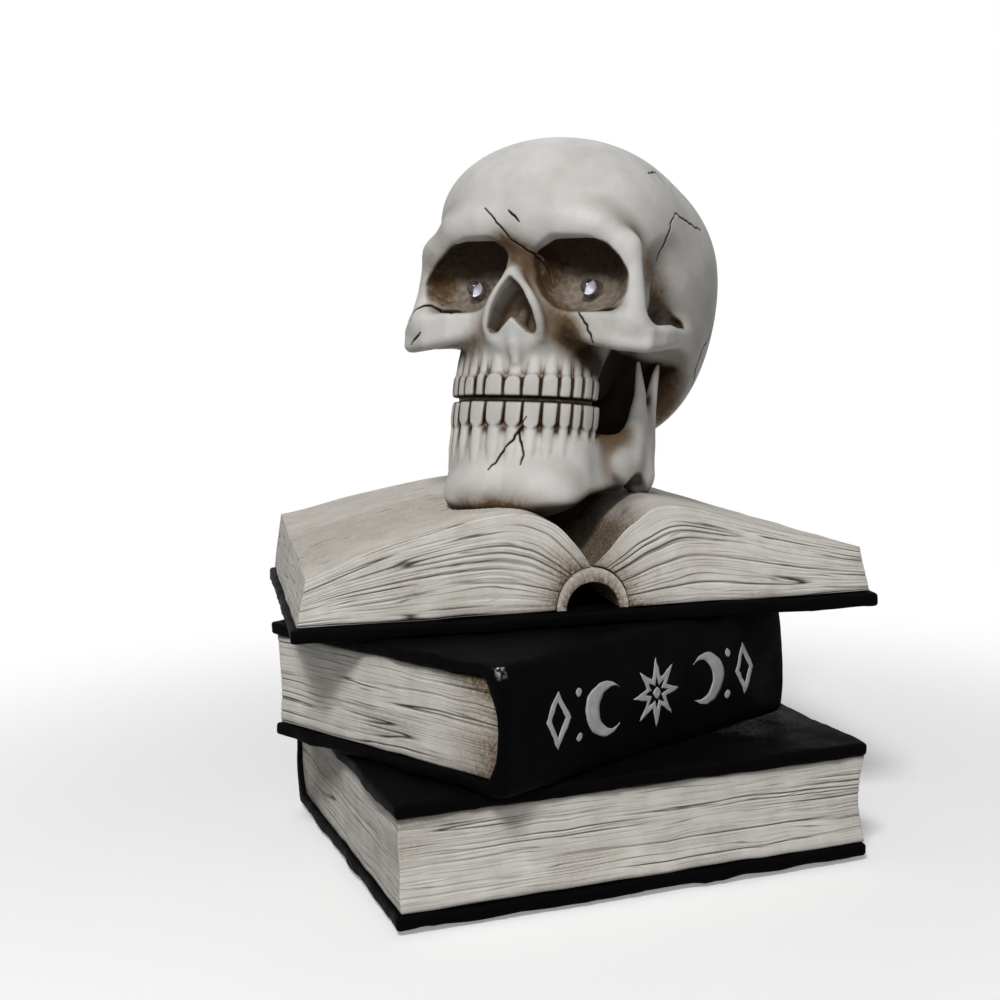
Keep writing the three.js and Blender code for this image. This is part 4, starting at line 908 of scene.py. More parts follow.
def sculpted(field, low, high):
    """Skin of a field in the skull's own frame: points and quads."""
    pitch, reach = SCULPT_PITCH, 4 * SCULPT_PITCH
    low = np.array(low, float)
    count = np.ceil((np.array(high) - low) / reach).astype(int)
    coarse = np.meshgrid(*[a + pitch * (4 * np.arange(n) + 1.5) for a, n in zip(low, count)], indexing="ij")
    rough = field(coarse)
    for axis in range(3):
        rough = rough.repeat(4, axis=axis)
    near = np.nonzero(np.abs(rough) < 9 * pitch)
    values = np.where(rough > 0, reach, -reach).astype(np.float32)
    values[near] = np.clip(field([low[i] + pitch * near[i] for i in range(3)]), -reach, reach)
    grid = openvdb.FloatGrid(background=reach)
    grid.copyFromArray(values)
    spots, quads = grid.convertToQuads(isovalue=0.0)
    return low + pitch * np.asarray(spots, float), np.asarray(quads)


def settle(points, field, rounds=2):
    """Points moved straight on to a field's skin, and the direction out of it."""
    points = points.copy()
    reach = 0.12
    for _ in range(rounds):
        here = field(list(points.T))
        slope = np.stack([
            (field(list((points + reach * np.eye(3)[i]).T)) - here) / reach for i in range(3)], axis=1)
        steep = np.maximum(np.linalg.norm(slope, axis=1), 0.35)[:, None]
        points -= np.clip(here[:, None] / steep, -0.5, 0.5) * slope / steep
    return points, slope / np.maximum(np.linalg.norm(slope, axis=1, keepdims=True), 1e-6)


def crack_line(knots, field, seed):
    """A crack as close points on the skin: straight runs with a jagged edge."""
    knots = np.array(knots, float)
    walked = np.concatenate([[0], np.cumsum(np.linalg.norm(np.diff(knots, axis=0), axis=1))])
    places = np.arange(0, walked[-1], 0.4)
    line = np.stack([np.interp(places, walked, knots[:, i]) for i in range(3)], axis=1)
    return settle(line + 0.3 * shaken(on_sheet(places, 0 * places), 1.6, seed), field, 4)[0]


def beside(points, line):
    """Numbers of the points round a crack, and how far each is from every place on it."""
    low, high = line.min(axis=0) - CRACK_REACH, line.max(axis=0) + CRACK_REACH
    some = np.nonzero(np.all((points > low) & (points < high), axis=1))[0]
    return some, np.linalg.norm(points[some, None] - line[None], axis=2)


def split_near(points, quads, lines):
    """Quads near the cracks split finer, so that a crack has a shape of its own."""
    near = np.zeros(len(points), bool)
    for line in lines:
        some, apart = beside(points, line[::2])
        near[some[apart.min(axis=1) < CRACK_FINE]] = True
    mesh = bpy.data.meshes.new("split")
    mesh.from_pydata(points.tolist(), [], quads.tolist())
    work = bmesh.new()
    work.from_mesh(mesh)
    bpy.data.meshes.remove(mesh)
    faces = [face for face in work.faces if any(near[v.index] for v in face.verts)]
    edges = list({edge for face in faces for edge in face.edges})
    bmesh.ops.subdivide_edges(work, edges=edges, cuts=2, use_grid_fill=True)
    bmesh.ops.triangulate(work, faces=[face for face in work.faces if len(face.verts) > 4])
    work.verts.index_update()
    points = np.array([v.co[:] for v in work.verts])
    faces = [[v.index for v in face.verts] for face in work.faces]
    work.free()
    return points, faces


def crack_depth(points, lines):
    """How deep each point lies in a crack, from 0 to 1; cracks narrow to their ends."""
    deep = np.zeros(len(points))
    for line in lines:
        some, apart = beside(points, line)
        share = apart.argmin(axis=1) / max(len(line) - 1, 1)
        width = 0.14 + 0.2 * np.sqrt(np.clip(np.sin(math.pi * np.clip(share, 0.04, 0.96)), 0, 1))
        deep[some] = np.maximum(deep[some], np.exp(-(apart.min(axis=1) / width) ** 2))
    return deep


def shut_in(points, out, field):
    """How shut in each point lies, from 0 in the open to 1 in a narrow gap."""
    total = np.zeros(len(points))
    for reach, weight in ((0.7, 0.34), (1.6, 0.34), (4.0, 0.22), (9.0, 0.1)):
        room = field(list((points + out * reach).T)) / reach
        total += weight * np.clip(1 - room, 0, 1.4)
    return total


JAW_CRACKS = [
    [(6, 43.1, -56.3), (3.8, 41.8, -59.9), (2, 43.2, -63.7), (-1, 42.7, -66.8), (-2.9, 43.2, -70.4),
     (-4.8, 44.2, -73.4)],
    [(3.8, 41.8, -59.9), (4.8, 42.3, -63.7), (6, 42.5, -67.9), (5.8, 43.1, -70.7)],
    [(4.2, 41.7, -51), (4.2, 41.9, -56.7)],
]
JAW_STAINS = [  # middle, reach, strength
    ((-12, 42, -85), 5, 1.0), ((-3, 43, -85.5), 5.5, 1.2), ((6, 43, -86), 5.5, 1.1), ((14, 41, -86), 5, 0.8),
    ((23.6, 13, -57), 5, 1.0), ((23, 19, -60), 5, 1.0), ((26, 9.5, -55), 4, 0.6)]


def stained(points, spots):
    """Soft round patches of paint, as middle, reach and strength."""
    total = np.zeros(len(points))
    for middle, reach, strength in spots:
        total += strength * np.exp(-(np.linalg.norm(points - middle, axis=1) / reach) ** 2)
    return np.clip(total, 0, 1.6)


# Off-white acrylic over resin, toned with brown and black washes: they stain the bone in patches and fill the
# cracks, and the open forms stay pale, with soft brush marks. Painted shade is mixed in: the wash darkens
# what lies shut in, and brown and black stand in for shade under the skull and jaw, in the mouth, sockets and
# nose, and in the temple pit.
bone_paint, tree, surface, spot = new_finish("washed bone paint", {"Specular IOR Level": 0.15})
cloud = add_node(
    tree, "TexNoise", {"Vector": spot, "Scale": 1 / (BONE_CLOUD * MM), "Detail": 5.0, "Roughness": 0.6})
bristle = add_node(
    tree, "TexNoise", {"Vector": spot, "Scale": 1 / (BONE_BRISTLE * MM), "Detail": 4.0, "Roughness": 0.6})
wash, stain, black = (
    add_node(tree, "Attribute", out="Fac", attribute_name=name) for name in ("wash", "stain", "black"))
even = add_node(tree, "MapRange", {"Value": cloud, "From Min": 0.3, "From Max": 0.7})
pale = add_node(tree, "Mix", {SHARE: even, FROM: "#c5c3be", TO: "#dedcd8"}, MIXED, data_type="RGBA")
brushed = add_node(
    tree, "MapRange", {"Value": bristle, "From Min": 0.3, "From Max": 0.7, "To Min": 0.8, "To Max": 1.1})
patchy = add_node(tree, "Math", {0: stain, 1: brushed}, operation="MULTIPLY")
brown = add_node(tree, "Mix", {SHARE: patchy, FROM: pale, TO: "#5f4b33"}, MIXED, data_type="RGBA")
pooled = add_node(tree, "MapRange", {"Value": patchy, "From Min": 0.95, "From Max": 1.6})
brown = add_node(tree, "Mix", {SHARE: pooled, FROM: brown, TO: "#2e2114"}, MIXED, data_type="RGBA")
first = add_node(tree, "MapRange", {"Value": wash, "From Min": 0.06, "From Max": 0.45})
toned = add_node(tree, "Mix", {SHARE: first, FROM: brown, TO: "#6b5946"}, MIXED, data_type="RGBA")
second = add_node(tree, "MapRange", {"Value": wash, "From Min": 0.4, "From Max": 0.8})
dark = add_node(tree, "Mix", {SHARE: second, FROM: toned, TO: "#1c1510"}, MIXED, data_type="RGBA")
# Black: paint in the cracks, and black painted shade where the skull and jaw lie in shadow
filled = add_node(tree, "Mix", {SHARE: black, FROM: dark, TO: "#20140a"}, MIXED, data_type="RGBA")
dull = add_node(tree, "MapRange", {"Value": black, "To Min": 0.15, "To Max": 0.0})
gloss = add_node(
    tree, "MapRange", {"Value": bristle, "From Min": 0.3, "From Max": 0.7, "To Min": 0.42, "To Max": 0.6})
marks = add_node(tree, "Bump", {"Height": bristle, "Strength": 0.35, "Distance": 0.25 * MM})
feed(surface, {"Base Color": filled, "Specular IOR Level": dull, "Roughness": gloss, "Normal": marks})


def cracked_skin(field, low, high, cracks, seed):
    """A sculpted skin, split finer along its cracks: points, directions out of it, faces, and the cracks."""
    points, quads = sculpted(field, low, high)
    lines = [crack_line(knots, field, seed + 5 * i) for i, knots in enumerate(cracks)]
    points, faces = split_near(points, quads, lines)
    return *settle(points, field), faces, lines


jaw_points, jaw_out, jaw_faces, jaw_lines = cracked_skin(
    jaw_field, (-42, -22, -98), (42, 58, -24), JAW_CRACKS, 400)

for word, stack in open_stacks.items():
    # The chin beds into the page
    mesh = stack.data
    spots = np.zeros(len(mesh.vertices) * 3)
    mesh.vertices.foreach_get("co", spots)
    spots = spots.reshape(-1, 3) / MM
    for _ in range(14):
        short = CHIN_BED - jaw_field(list(ornament_to_head(spots).T))
        spots[:, 2] -= np.clip(short, 0, 1.5)
    mesh.vertices.foreach_set("co", (spots * MM).ravel())
    if word == "right":
        # Painted shadow of the jaw on this page, and wash run off the jaw
        near_jaw = np.exp(-np.maximum(jaw_field(list(ornament_to_head(spots).T)), 0) / 6)
        layer = mesh.attributes["grime"].data
        grime = np.zeros(len(spots))
        layer.foreach_get("value", grime)
        layer.foreach_set("value", np.clip(grime + 0.8 * near_jaw, 0, 1))

# Skull: one resin casting on a short neck post that goes down into the open book.
# The eye sockets are painted black above the lamps, as paint and as the brow's painted shadow; cracks are cut
# into the clay model with a knife.
NOSE_HALF = [
    (0, -14), (2.5, -16.2), (3.9, -18.3), (6.4, -23.2), (7.6, -28.1), (7.1, -28.9), (5.4, -28.7),
    (2.8, -26.6), (0, -24.2)]
NOSE_OUTLINE = NOSE_HALF + [(-a, b) for a, b in NOSE_HALF[-2:0:-1]]
NOSE_OPENED = 0.7  # how far the opening goes past its outline
NOSE_RIM = [((a, b, c), r) for a, b, c, r in through([
    (0, 49.6, -12.2, 1.6), (4.2, 49.1, -16.2, 1.4), (6.8, 48.4, -20.2, 1.4), (8.5, 47.2, -24, 1.35),
    (9.2, 45.8, -27.8, 1.3), (7.8, 43.6, -31, 1.2), (0, 42.2, -33, 1.2)], np.linspace(0, 1, 15))]
SOCKET_OUTLINE = [
    (10.2, -7.4), (13.5, -5.3), (22, -5.2), (26, -6.6), (28.4, -9), (29.8, -11.6), (29.8, -14.6),
    (28.6, -16.4), (25, -17.2), (17.8, -16.8), (15, -16.2), (13, -14.4), (11.2, -11)]
SOCKET_ROUND = 5.0
UPPER_EDGES = (-34, -29.5, -24.9, -20.5, -16.1, -11.4, -7.4, -0.5, 5.8, 11.8, 17.6, 21.8, 25.6, 30, 35.2)
CHEEK = [  # left, forward, height of the middle, half height
    (15, 40, -26.6, 4.6), (25, 41, -27.4, 5.4), (33.4, 39.8, -28.4, 5.8), (40.9, 36, -29.8, 4.5),
    (42, 28, -28, 4.1), (41.8, 20, -25.8, 3.9), (40.2, 11, -24.4, 3.8), (37, 1, -22.6, 4)]
TEMPLE_PIT = [
    ((36.8, 22.5, -12), 2.2), ((36.4, 16.4, -17), 4.2), ((37.6, 11, -19), 3.4), ((39.4, 6.5, -19.2), 1.4)]
POST_FOOT, POST_HEAD = ornament_to_head(np.array([[17.0, 30.0, 84.0], [17.0, 30.0, 140.0]]))
LAMP_SIDE, LAMP_BACK, LAMP_HEIGHT = 20.0, 30.0, -13.0
LAMP_FLANGE = 2.9


def inside_outline(u, v, outline):
    """Distance from a closed outline, below 0 inside it."""
    d = np.full(u.shape, 1e9)
    flips = np.ones(u.shape)
    for (ax, ay), (bx, by) in zip(outline, outline[1:] + outline[:1]):
        ex, ey = bx - ax, by - ay
        wx, wy = u - ax, v - ay
        t = np.clip((wx * ex + wy * ey) / (ex * ex + ey * ey), 0, 1)
        d = np.minimum(d, (wx - ex * t) ** 2 + (wy - ey * t) ** 2)
        over, under = v >= ay, v < by
        left = ex * wy > ey * wx
        flips = np.where((over & under & left) | (~over & ~under & ~left), -flips, flips)
    return flips * np.sqrt(d)


def band(p, knots, thick, radius):
    """Distance from a band of bone that stands on edge along a path."""
    best, middle, half = np.full(p[0].shape, 1e9), 0 * p[0], 0 * p[0]
    for a, b in zip(knots, knots[1:]):
        ex, ef = b[0] - a[0], b[1] - a[1]
        t = np.clip(((p[0] - a[0]) * ex + (p[1] - a[1]) * ef) / (ex * ex + ef * ef), 0, 1)
        away = np.hypot(p[0] - a[0] - ex * t, p[1] - a[1] - ef * t)
        nearer = away < best
        best = np.where(nearer, away, best)
        middle = np.where(nearer, a[2] + (b[2] - a[2]) * t, middle)
        half = np.where(nearer, a[3] + (b[3] - a[3]) * t, half)
    return slab(best, p[2] - middle, thick, half, radius)


def head_form(p):
    """The skull before its sockets and nose are opened."""
    x, f, z = p
    m = [np.abs(x), f, z]
    d = ball(m, (0, -7, 2.2), (44.1, 51, 40.3))  # braincase
    d = melt(d, ball(m, (0, 20.3, 13), (39.2, 32.7, 25.9)), 12)  # forehead
    d = melt(d, ball(m, (0, -17.7, -19.5), (39, 32, 36.9)), 12)  # back of the head
    d = carve(d, ball(m, (48, 22, -9), (13, 12, 15)), 5)  # temple
    d = melt(d, ball(m, (0, 23.5, -13.5), (35, 19, 19)), 8)  # face behind the sockets
    d = melt(d, ball(m, (0, 26, -28), (23, 16, 15)), 7)  # upper jaw
    brow = rope(m, [((0, 45, 3), 4.8), ((13, 46.4, 5), 5), ((25, 43.8, 4), 4.6), ((33, 39.6, -2), 3.7)])
    upright = rope(m, [
        ((33, 39.6, -2), 3.7), ((35.2, 38.4, -8), 3.3), ((36.2, 37.6, -15), 3.3), ((36.8, 37.8, -24), 4.4)])
    d = melt(melt(d, brow, 7), upright, 5)
    d = melt(d, ball(m, (31, 30, -12), (6, 10, 12)), 3)  # outer wall of a socket
    cheek_root = ball(m, (35.4, 0, -21.5), (6, 11, 7))
    d = melt(d, melt(band(m, CHEEK, 2.9, 2.7), cheek_root, 5), 5)
    d = melt(d, ball(m, (0, 39.5, -22), (12.5, 9, 13)), 5)  # round the nose
    bridge = rope(m, [((0, 40, 0), 4.4), ((0, 44, -6.5), 3.6), ((0, 48.6, -11.8), 2.2)])
    d = melt(d, bridge, 4)
    d = melt(d, rope(m, NOSE_RIM), 3)
    gum = carve(carve(dental_arch(x - DENTAL_MIDDLE, f, -1.9), 8 - np.abs(z + 37), 5), f - 8, 4)
    d = melt(d, gum, 6)
    d = carve(d, ball(m, (36, 30, -48), (12.5, 19, 12)), 4)  # below the cheek bone
    d = carve(d, ball(m, (34, 4, -47), (14, 23, 20)), 5)  # room for the jaw's prongs
    d = carve(d, rope(m, TEMPLE_PIT), 2)
    return melt(d, rope(p, [(POST_FOOT, 9.0), (POST_HEAD, 12.0)]), 5)


def socket_form(p):
    """Both eye sockets, narrowing to the back."""
    behind = np.clip(41 - p[1], 0, 30)
    narrow = np.clip(1 - 0.035 * behind, 0.6, 1)
    u = 20.8 + (np.abs(p[0]) - 20.8 + 0.2 * behind) / narrow
    v = -11.2 + (p[2] + 11.2) / narrow
    u = u + np.where(p[0] < 0, 0.27 * np.maximum(v + 13, 0), 0)
    return carve((inside_outline(u, v, SOCKET_OUTLINE) - SOCKET_ROUND) * narrow, p[1] - 31, 8)


def skull_field(p):
    """The skull with its sockets, nose opening and upper teeth."""
    x, f, z = p
    d = carve(head_form(p), socket_form(p), 1.3)
    d = with_teeth(
        d, p, UPPER_EDGES, gum=-42.4, bite=BITE + BITE_GAP / 2,
        thick=6.5, inset=2.6, root=9.5, swell=-0.4, seed=6)
    level = z - BITE_RISE * np.clip(DENTAL_FRONT - f, 0, 30)
    # A block inside the upper teeth closes the mouth; it is painted black, as the shade inside the mouth
    palate = carve(dental_arch(x - DENTAL_MIDDLE, f, -1.7), 5 - np.abs(level - BITE - 4), 0.5)
    d = np.minimum(d, carve(palate, f - 25, 1))
    d = melt(d, rope(p, [((0, 44.6, -28), 1.2), ((0.3, 44.4, -33), 1.8), ((0.6, 43, -38), 1)]), 2)
    hole = carve(inside_outline(x, z, NOSE_OUTLINE) - NOSE_OPENED, f - 38, 3)
    d = carve(d, hole, 0.8)
    return melt(d, rope(p, [((0, 37, -20), 1.2), ((0, 40, -24), 1.6), ((0, 43.5, -28.5), 1.8)]), 2)


def head_field(p):
    """The skull and its jaw together."""
    return np.minimum(skull_field(p), jaw_field(p))


def past(value, start, run):
    """0 up to a start, then rising to 1 over a run."""
    return np.clip((value - start) / run, 0, 1)


def behind_teeth(x, f):
    """1 inside the dental arch, and 0 outside it."""
    return past(-dental_arch(x - DENTAL_MIDDLE, f, -2.6), 0, 0.8)


SKULL_CRACKS = [
    [(-10, 52.6, 8.3), (-7.4, 52.8, 5.6), (-4.9, 52.4, 3.3), (-2.7, 51.6, 0.6), (-0.9, 50.3, -1.7),
     (1.9, 49.3, -3.3), (5.3, 47.2, -5.1), (6, 39.5, -5.9), (6.8, 36.9, -8.2), (8, 36.2, -12)],
    [(-1.7, 52.8, 7.6), (0.5, 52.6, 5.4), (2.3, 52.6, 3.7)],
    [(40.7, 19.8, 14.6), (40.6, 22.2, 10.5), (38.7, 22.1, 4), (36.2, 21.1, -1.5)],
    [(40.7, 19.8, 14.6), (41.5, 12.3, 14.3), (41.7, 3.7, 14.7), (41.5, -3.6, 15.7)],
    [(33.6, 27.9, 25.5), (33.3, 21.2, 28.1), (35.2, 21.2, 26), (36.9, 20.8, 23.7)],
    [(-40, 42.5, -25), (-38.6, 41.5, -21.8), (-35.2, 41.5, -19.8), (-33.1, 39.9, -19.4),
     (-30.5, 38.1, -20.8), (-23.7, 42.9, -22.9), (-22.8, 36.1, -20.3)],
    [(-39.5, 39.9, -32.1), (-37, 41.4, -30.4), (-34.6, 42.7, -29)],
    [(20.4, 42.1, -22.5), (23, 43.6, -25.5), (25.1, 43.8, -29.3), (26.4, 42.3, -32.7)],
    [(41, -24, -13.5), (42.6, -17.4, -22.6), (40, -18.3, -29.3), (34.5, -27.5, -34.5)],
]
SKULL_SHADES = [
    ((19.5, 35.5, -34), 4, 0.7), ((21, 31, -36), 5, 1.0), ((21, 25, -37.5), 5, 1.0), ((34, 12, -17), 5, 1.0)]
# Brown stains; those on the skull's left temple and side, and low on the back of the skull, are painted shade
# as well
SKULL_STAINS = [
    ((-4.4, 50.3, -2), 4.5, 1.0), ((0, 49, -4.5), 4.5, 1.0), ((4, 47, -7), 4.5, 1.0), ((7, 40, -9), 6, 1.0),
    ((6, 46, -13), 4.5, 0.6), ((11, 44.5, -21), 5, 0.6), ((15, 43.5, -27), 5.5, 1.1),
    ((18.5, 42, -31.5), 5, 1.2), ((23, 36, -34), 6, 1.3), ((30, 41, -28), 6, 0.3),
    ((-32, 37, -13), 5, 0.7), ((36, 26, -4), 6, 0.9), ((36, 17, -12), 8, 1.0), ((36.5, 29, -9), 5, 0.7),
    ((-33.5, 43.3, -5.6), 4.5, 0.5), ((-30, 43, 3), 7, 0.3), ((42, -14, -10), 16, 0.25),
    ((-14, 43, -31), 4, 0.6), ((-17, 41, -35), 5, 0.7), ((30, -12, -35), 8, 1.0),
    ((27, -17, -43), 8, 1.0), ((-30, -12, -35), 8, 1.0)]

points, out, faces, lines = cracked_skin(skull_field, (-56, -66, -104), (56, 66, 56), SKULL_CRACKS, 500)
x, f, z = points.T
aside = np.abs(x)
deep = crack_depth(points, lines)
in_socket = np.clip(1.5 - np.abs(socket_form([x, f, z])) / 0.7, 0, 1) * (aside > 6) * (f < 46)
lid = -7.6 - 0.2 * (aside - 12)  # the black paint and painted brow shadow end along this line
above = np.clip((z - lid + 0.8 * unevenness(points, 3.0, 601)) / 3.5 + 0.5, 0, 1)
teeth = past(-z, 41, 3) * past(f, 18, 4)
gums = past(-z, 29, 4) * past(f, 12, 4)
# Painted shade: the lower part of the temple pit is painted black
pit = np.clip(1.2 - rope([aside, f, z], TEMPLE_PIT) / 1.6, 0, 1) * past(-z, 12, 5)
# Painted shade: inside the dental arch, behind the upper teeth, the skull is painted black
mouth = behind_teeth(x, f) * past(-z, 40, 2)
nose = np.clip(0.5 - (inside_outline(x, z, NOSE_OUTLINE) - NOSE_OPENED) / 0.6, 0, 1) * (f > 30) * (f < 47.5)
shade = np.clip(stained(np.column_stack([aside, f, z]), SKULL_SHADES), 0, 1)
from_lamp = np.hypot(aside - LAMP_SIDE, z - LAMP_HEIGHT)
# Painted shade: a dark ring round each lamp's flange
ring = np.clip(1.5 - np.abs(from_lamp - LAMP_FLANGE) / 0.5, 0, 1) * in_socket
# Painted shade: the skull's underside behind the teeth and below the cheek bones is painted black
under = past(-z, 27.5, 2.5) * past(-f, -26, 4) * past(f, -16, 6) * past(-aside, -37, 3)
# Wash and painted shade: the more shut in a place lies, the darker it is painted; cracks add their own dark
wash = shut_in(points, out, head_field) * (1 - 0.6 * in_socket) * (1 - 0.25 * gums + 0.65 * teeth) + deep
# Brown insides of the sockets and the nose: stain, and painted shade in these hollows
stain = stained(points, SKULL_STAINS) * (1 - 0.5 * in_socket) + 0.85 * in_socket + 0.9 * nose + 0.15 * teeth
black = np.max([
    0.84 * in_socket * above, 0.8 * deep, 0.97 * under, 0.95 * mouth, 0.85 * pit, 0.7 * ring, 0.9 * shade,
], axis=0)
points = points - CRACK_DEPTH * deep[:, None] * out
add_piece(
    "skull_cast", head_to_ornament(points), faces, bone_paint, "bone", ("skull",),
    wash=np.clip(wash, 0, 1.2), stain=np.clip(stain, 0, 1.6), black=black,
)

# The jaw's wash and painted shade come last, because the skull shuts in its upper end
x, f, z = jaw_points.T
deep = crack_depth(jaw_points, jaw_lines)
# Painted shade: inside the dental arch, behind the lower teeth, the jaw is painted black
mouth = behind_teeth(x, f) * past(z, -61, 2) * past(f, 20, 3)
teeth = past(z, -60, 3) * past(f, 18, 4)
# Painted shade: the jaw's low, downward-facing faces are painted dark
below = past(-jaw_out[:, 2], 0.35, 0.3) * past(-z, 64, 6)
wash = shut_in(jaw_points, jaw_out, head_field) * (1 + 0.15 * past(z, -74, 8) + 0.3 * teeth) + deep
stain = stained(jaw_points, JAW_STAINS) + 0.15 * teeth
black = np.max([0.9 * deep, 0.95 * mouth, 0.85 * below], axis=0)
jaw_points = jaw_points - CRACK_DEPTH * deep[:, None] * jaw_out
add_piece(
    "jaw_cast", head_to_ornament(jaw_points), jaw_faces, bone_paint, "bone", ("lower_jaw",),
    wash=np.clip(wash, 0, 1.2), stain=np.clip(stain, 0, 1.6), black=black,
)

# Eye lamps: two clear 5 mm LEDs, each cast round a silvered cup and its two legs, pressed into the socket
# floor. A black sleeve insulates the legs behind each lamp, and a thin twin lead runs down the neck post
# to the tray.
LAMP_RADIUS = 2.5
LAMP_LENGTH = 8.6
EPOXY_FLOW = 1.5
SLEEVE_WRINKLE = 0.8
WIRE_DRAG = 0.6

# Clear cast epoxy: glass-like and colourless.
clear_epoxy, tree, surface, spot = new_finish(
    "clear cast epoxy", {"Base Color": "#e6e0ee", "Roughness": 0.03, "IOR": 1.53, "Transmission Weight": 1.0})
flow = add_node(tree, "TexNoise", {"Vector": spot, "Scale": 1 / (EPOXY_FLOW * MM), "Detail": 1.0})
skin = add_node(tree, "Bump", {"Height": flow, "Strength": 0.06, "Distance": 0.1 * MM})
feed(surface, {"Normal": skin})

# Heat-shrunk polyolefin: black and matt, faintly wrinkled.
black_sleeve, tree, surface, spot = new_finish("shrunk sleeve", {"Base Color": "#1d1d20", "Roughness": 0.62})
wrinkle = add_node(tree, "TexNoise", {"Vector": spot, "Scale": 1 / (SLEEVE_WRINKLE * MM), "Detail": 3.0})
skin = add_node(tree, "Bump", {"Height": wrinkle, "Strength": 0.3, "Distance": 0.1 * MM})
feed(surface, {"Normal": skin})

# Extruded PVC: dark red, smooth with a slight drag along its length.
wire_skin, tree, surface, spot = new_finish("extruded PVC", {"Base Color": "#3c2020", "IOR": 1.53})
drag = add_node(tree, "TexNoise", {"Vector": spot, "Scale": 1 / (WIRE_DRAG * MM), "Detail": 2.0})
gloss = add_node(tree, "MapRange", {"Value": drag, "To Min": 0.35, "To Max": 0.55})
feed(surface, {"Roughness": gloss})

lens_profile = [
    (0, 0), (2, 0), (LAMP_FLANGE - 0.15, 0), (LAMP_FLANGE, 0.15), (LAMP_FLANGE, 0.85),
    (LAMP_FLANGE - 0.15, 1.0), (LAMP_RADIUS + 0.1, 1.02), (LAMP_RADIUS, 1.15), (LAMP_RADIUS, 2.5),
    (LAMP_RADIUS, 4.5)]
lens_profile += [
    (LAMP_RADIUS * math.cos(a), LAMP_LENGTH - LAMP_RADIUS + LAMP_RADIUS * math.sin(a))
    for a in np.linspace(0, math.pi / 2, 14)]
cup_profile = [(0, 0.4), (1.0, 0.4), (1.1, 0.5), (1.1, 4.4), (1.0, 4.5), (0.5, 3.9), (0, 3.9)]
# A thin black disc under each lens, so that the clear epoxy shows dark: painted shade behind the lens
plug_profile = [(0, 0.1), (2.2, 0.1), (2.3, 0.2), (2.3, 0.3), (2.2, 0.38), (0, 0.38)]


def lamp_part(side, profile):
    """A turned part of a lamp, lying along the skull's forward direction."""
    points, faces = turned(profile)
    right, up, ahead = points.T
    points = np.stack([side * LAMP_SIDE + right, LAMP_BACK + ahead, LAMP_HEIGHT + up], axis=1)
    return head_to_ornament(points), faces


for word, side in (("left", 1), ("right", -1)):
    add_piece(f"{word}_lens", *lamp_part(side, lens_profile), clear_epoxy, "lens", (f"{word}_eye_led",))
    add_piece(f"{word}_lamp_cup", *lamp_part(side, cup_profile), plated_steel, "steel")
    add_piece(f"{word}_lamp_plug", *lamp_part(side, plug_profile), black_sleeve, "sleeve")
    dress(f"{word}_led_sleeve", black_sleeve, smooth=True)
    dress(f"{word}_eye_wire", wire_skin, smooth=True)
dress("main_wire", wire_skin, smooth=True)

# Studio, in metres: a white floor that keeps the shadow, and a white room. A soft lamp high in front on the
# left lights the ornament, a weaker broad one stands lower in front of it, and a faint one is behind.
FLOOR_HALF = 6.0
FLOOR_GLOW = 0.24
SHADOW_NEAR, SHADOW_FAR = 0.13, 0.4  # the shadow fades out between these
ROOM_LIGHT = 0.09
WHITE = (1, 1, 1, 1)
STUDIO_LAMPS = [  # name, place, aim, power in watts, size
    ("key", (-0.52, -0.82, 1.1), (0, 0, 0.14), 12.0, 0.28),
    ("fill", (-0.4, -1.2, 0.4), (0, 0, 0.12), 3.5, 0.9),
    ("back", (0.2, 1.0, 1.0), (0, 0, 0.15), 1.5, 0.8),
]


def looked_at(tree):
    """1 where the camera, a reflection or a clear part looks at the floor or the room, and 0 elsewhere."""
    sight, mirror, glass = (
        add_node(tree, "LightPath", out=f"Is {way} Ray") for way in ("Camera", "Glossy", "Transmission"))
    either = add_node(tree, "Math", {0: sight, 1: mirror}, operation="MAXIMUM")
    return add_node(tree, "Math", {0: either, 1: glass}, operation="MAXIMUM")


# White paper: matt, and grey to the light that it throws back, so that the ornament isn't lit from below.
floor_paper, tree, surface, spot = new_finish(
    "white paper", {"Roughness": 0.9, "Specular IOR Level": 0.0, "Emission Color": WHITE})
shown = looked_at(tree)
paper = add_node(tree, "Mix", {SHARE: shown, FROM: "#8c8c8c", TO: "#fafafa"}, MIXED, data_type="RGBA")
glow = add_node(tree, "Math", {0: shown, 1: FLOOR_GLOW}, operation="MULTIPLY")
feed(surface, {"Base Color": paper, "Emission Strength": glow})
away = add_node(tree, "VectorMath", {0: spot}, "Value", operation="LENGTH")
far = add_node(
    tree, "MapRange", {"Value": away, "From Min": SHADOW_NEAR, "From Max": SHADOW_FAR},
    interpolation_type="SMOOTHSTEP")
faded = add_node(tree, "Math", {0: far, 1: shown}, operation="MULTIPLY")
white = add_node(tree, "Emission", {"Color": WHITE, "Strength": 1.0})
blank = add_node(tree, "MixShader", {0: faded, 1: surface.outputs["BSDF"], 2: white})
feed(tree.nodes["Material Output"], {"Surface": blank})

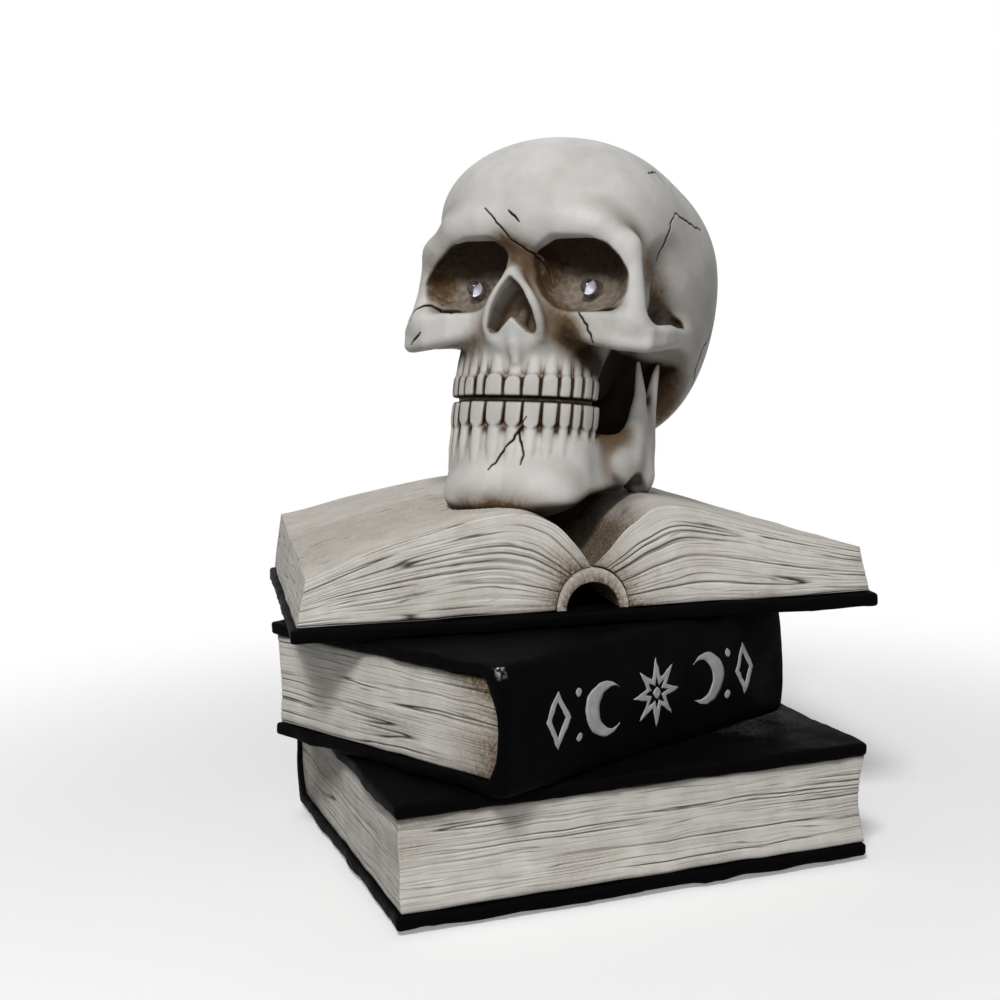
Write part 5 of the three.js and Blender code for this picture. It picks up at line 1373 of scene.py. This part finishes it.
mesh = bpy.data.meshes.new("floor")
corners = [(x * FLOOR_HALF, y * FLOOR_HALF, 0) for x, y in ((-1, -1), (1, -1), (1, 1), (-1, 1))]
mesh.from_pydata(corners, [], [(0, 1, 2, 3)])
mesh.materials.append(floor_paper)
floor = bpy.data.objects.new("floor", mesh)
bpy.context.scene.collection.objects.link(floor)

room = bpy.data.worlds.new("white room")
room.use_nodes = True
tree = room.node_tree
level = add_node(tree, "MapRange", {"Value": looked_at(tree), "To Min": ROOM_LIGHT, "To Max": 1.0})
feed(tree.nodes["Background"], {"Color": WHITE, "Strength": level})
bpy.context.scene.world = room

for name, place, aim, power, size in STUDIO_LAMPS:
    light = bpy.data.lights.new(name, "AREA")
    light.energy = power
    light.size = size
    lamp = bpy.data.objects.new(name, light)
    lamp.location = place
    lamp.rotation_euler = (Vector(aim) - Vector(place)).to_track_quat("-Z", "Y").to_euler()
    bpy.context.scene.collection.objects.link(lamp)

# Camera: level with the skull's chin, a little to the left, as in a catalogue picture.
# It looks slightly down, and leans a little to one side.
CAMERA_AT = Vector((-0.1833, -0.4671, 0.1716))
CAMERA_YAW, CAMERA_PITCH, CAMERA_ROLL = (math.radians(a) for a in (19.37, 6.93, -1.59))
CAMERA_LENS, CAMERA_FILM = 56.51, 36
CAMERA_NEAR = 0.01
right = Vector((math.cos(CAMERA_YAW), -math.sin(CAMERA_YAW), 0))
level = Vector((math.sin(CAMERA_YAW), math.cos(CAMERA_YAW), 0))
ahead = level * math.cos(CAMERA_PITCH) - Vector((0, 0, math.sin(CAMERA_PITCH)))
up = right.cross(ahead)
tilted_right = right * math.cos(CAMERA_ROLL) + up * math.sin(CAMERA_ROLL)
tilted_up = up * math.cos(CAMERA_ROLL) - right * math.sin(CAMERA_ROLL)
camera = bpy.data.objects.new("camera", bpy.data.cameras.new("camera"))
axes = Matrix((tilted_right, tilted_up, -ahead)).transposed()
camera.matrix_world = Matrix.Translation(CAMERA_AT) @ axes.to_4x4()
camera.data.sensor_width = CAMERA_FILM
camera.data.lens = CAMERA_LENS
camera.data.clip_start = CAMERA_NEAR
bpy.context.scene.collection.objects.link(camera)
bpy.context.scene.camera = camera
bpy.context.scene.view_settings.view_transform = "Standard"
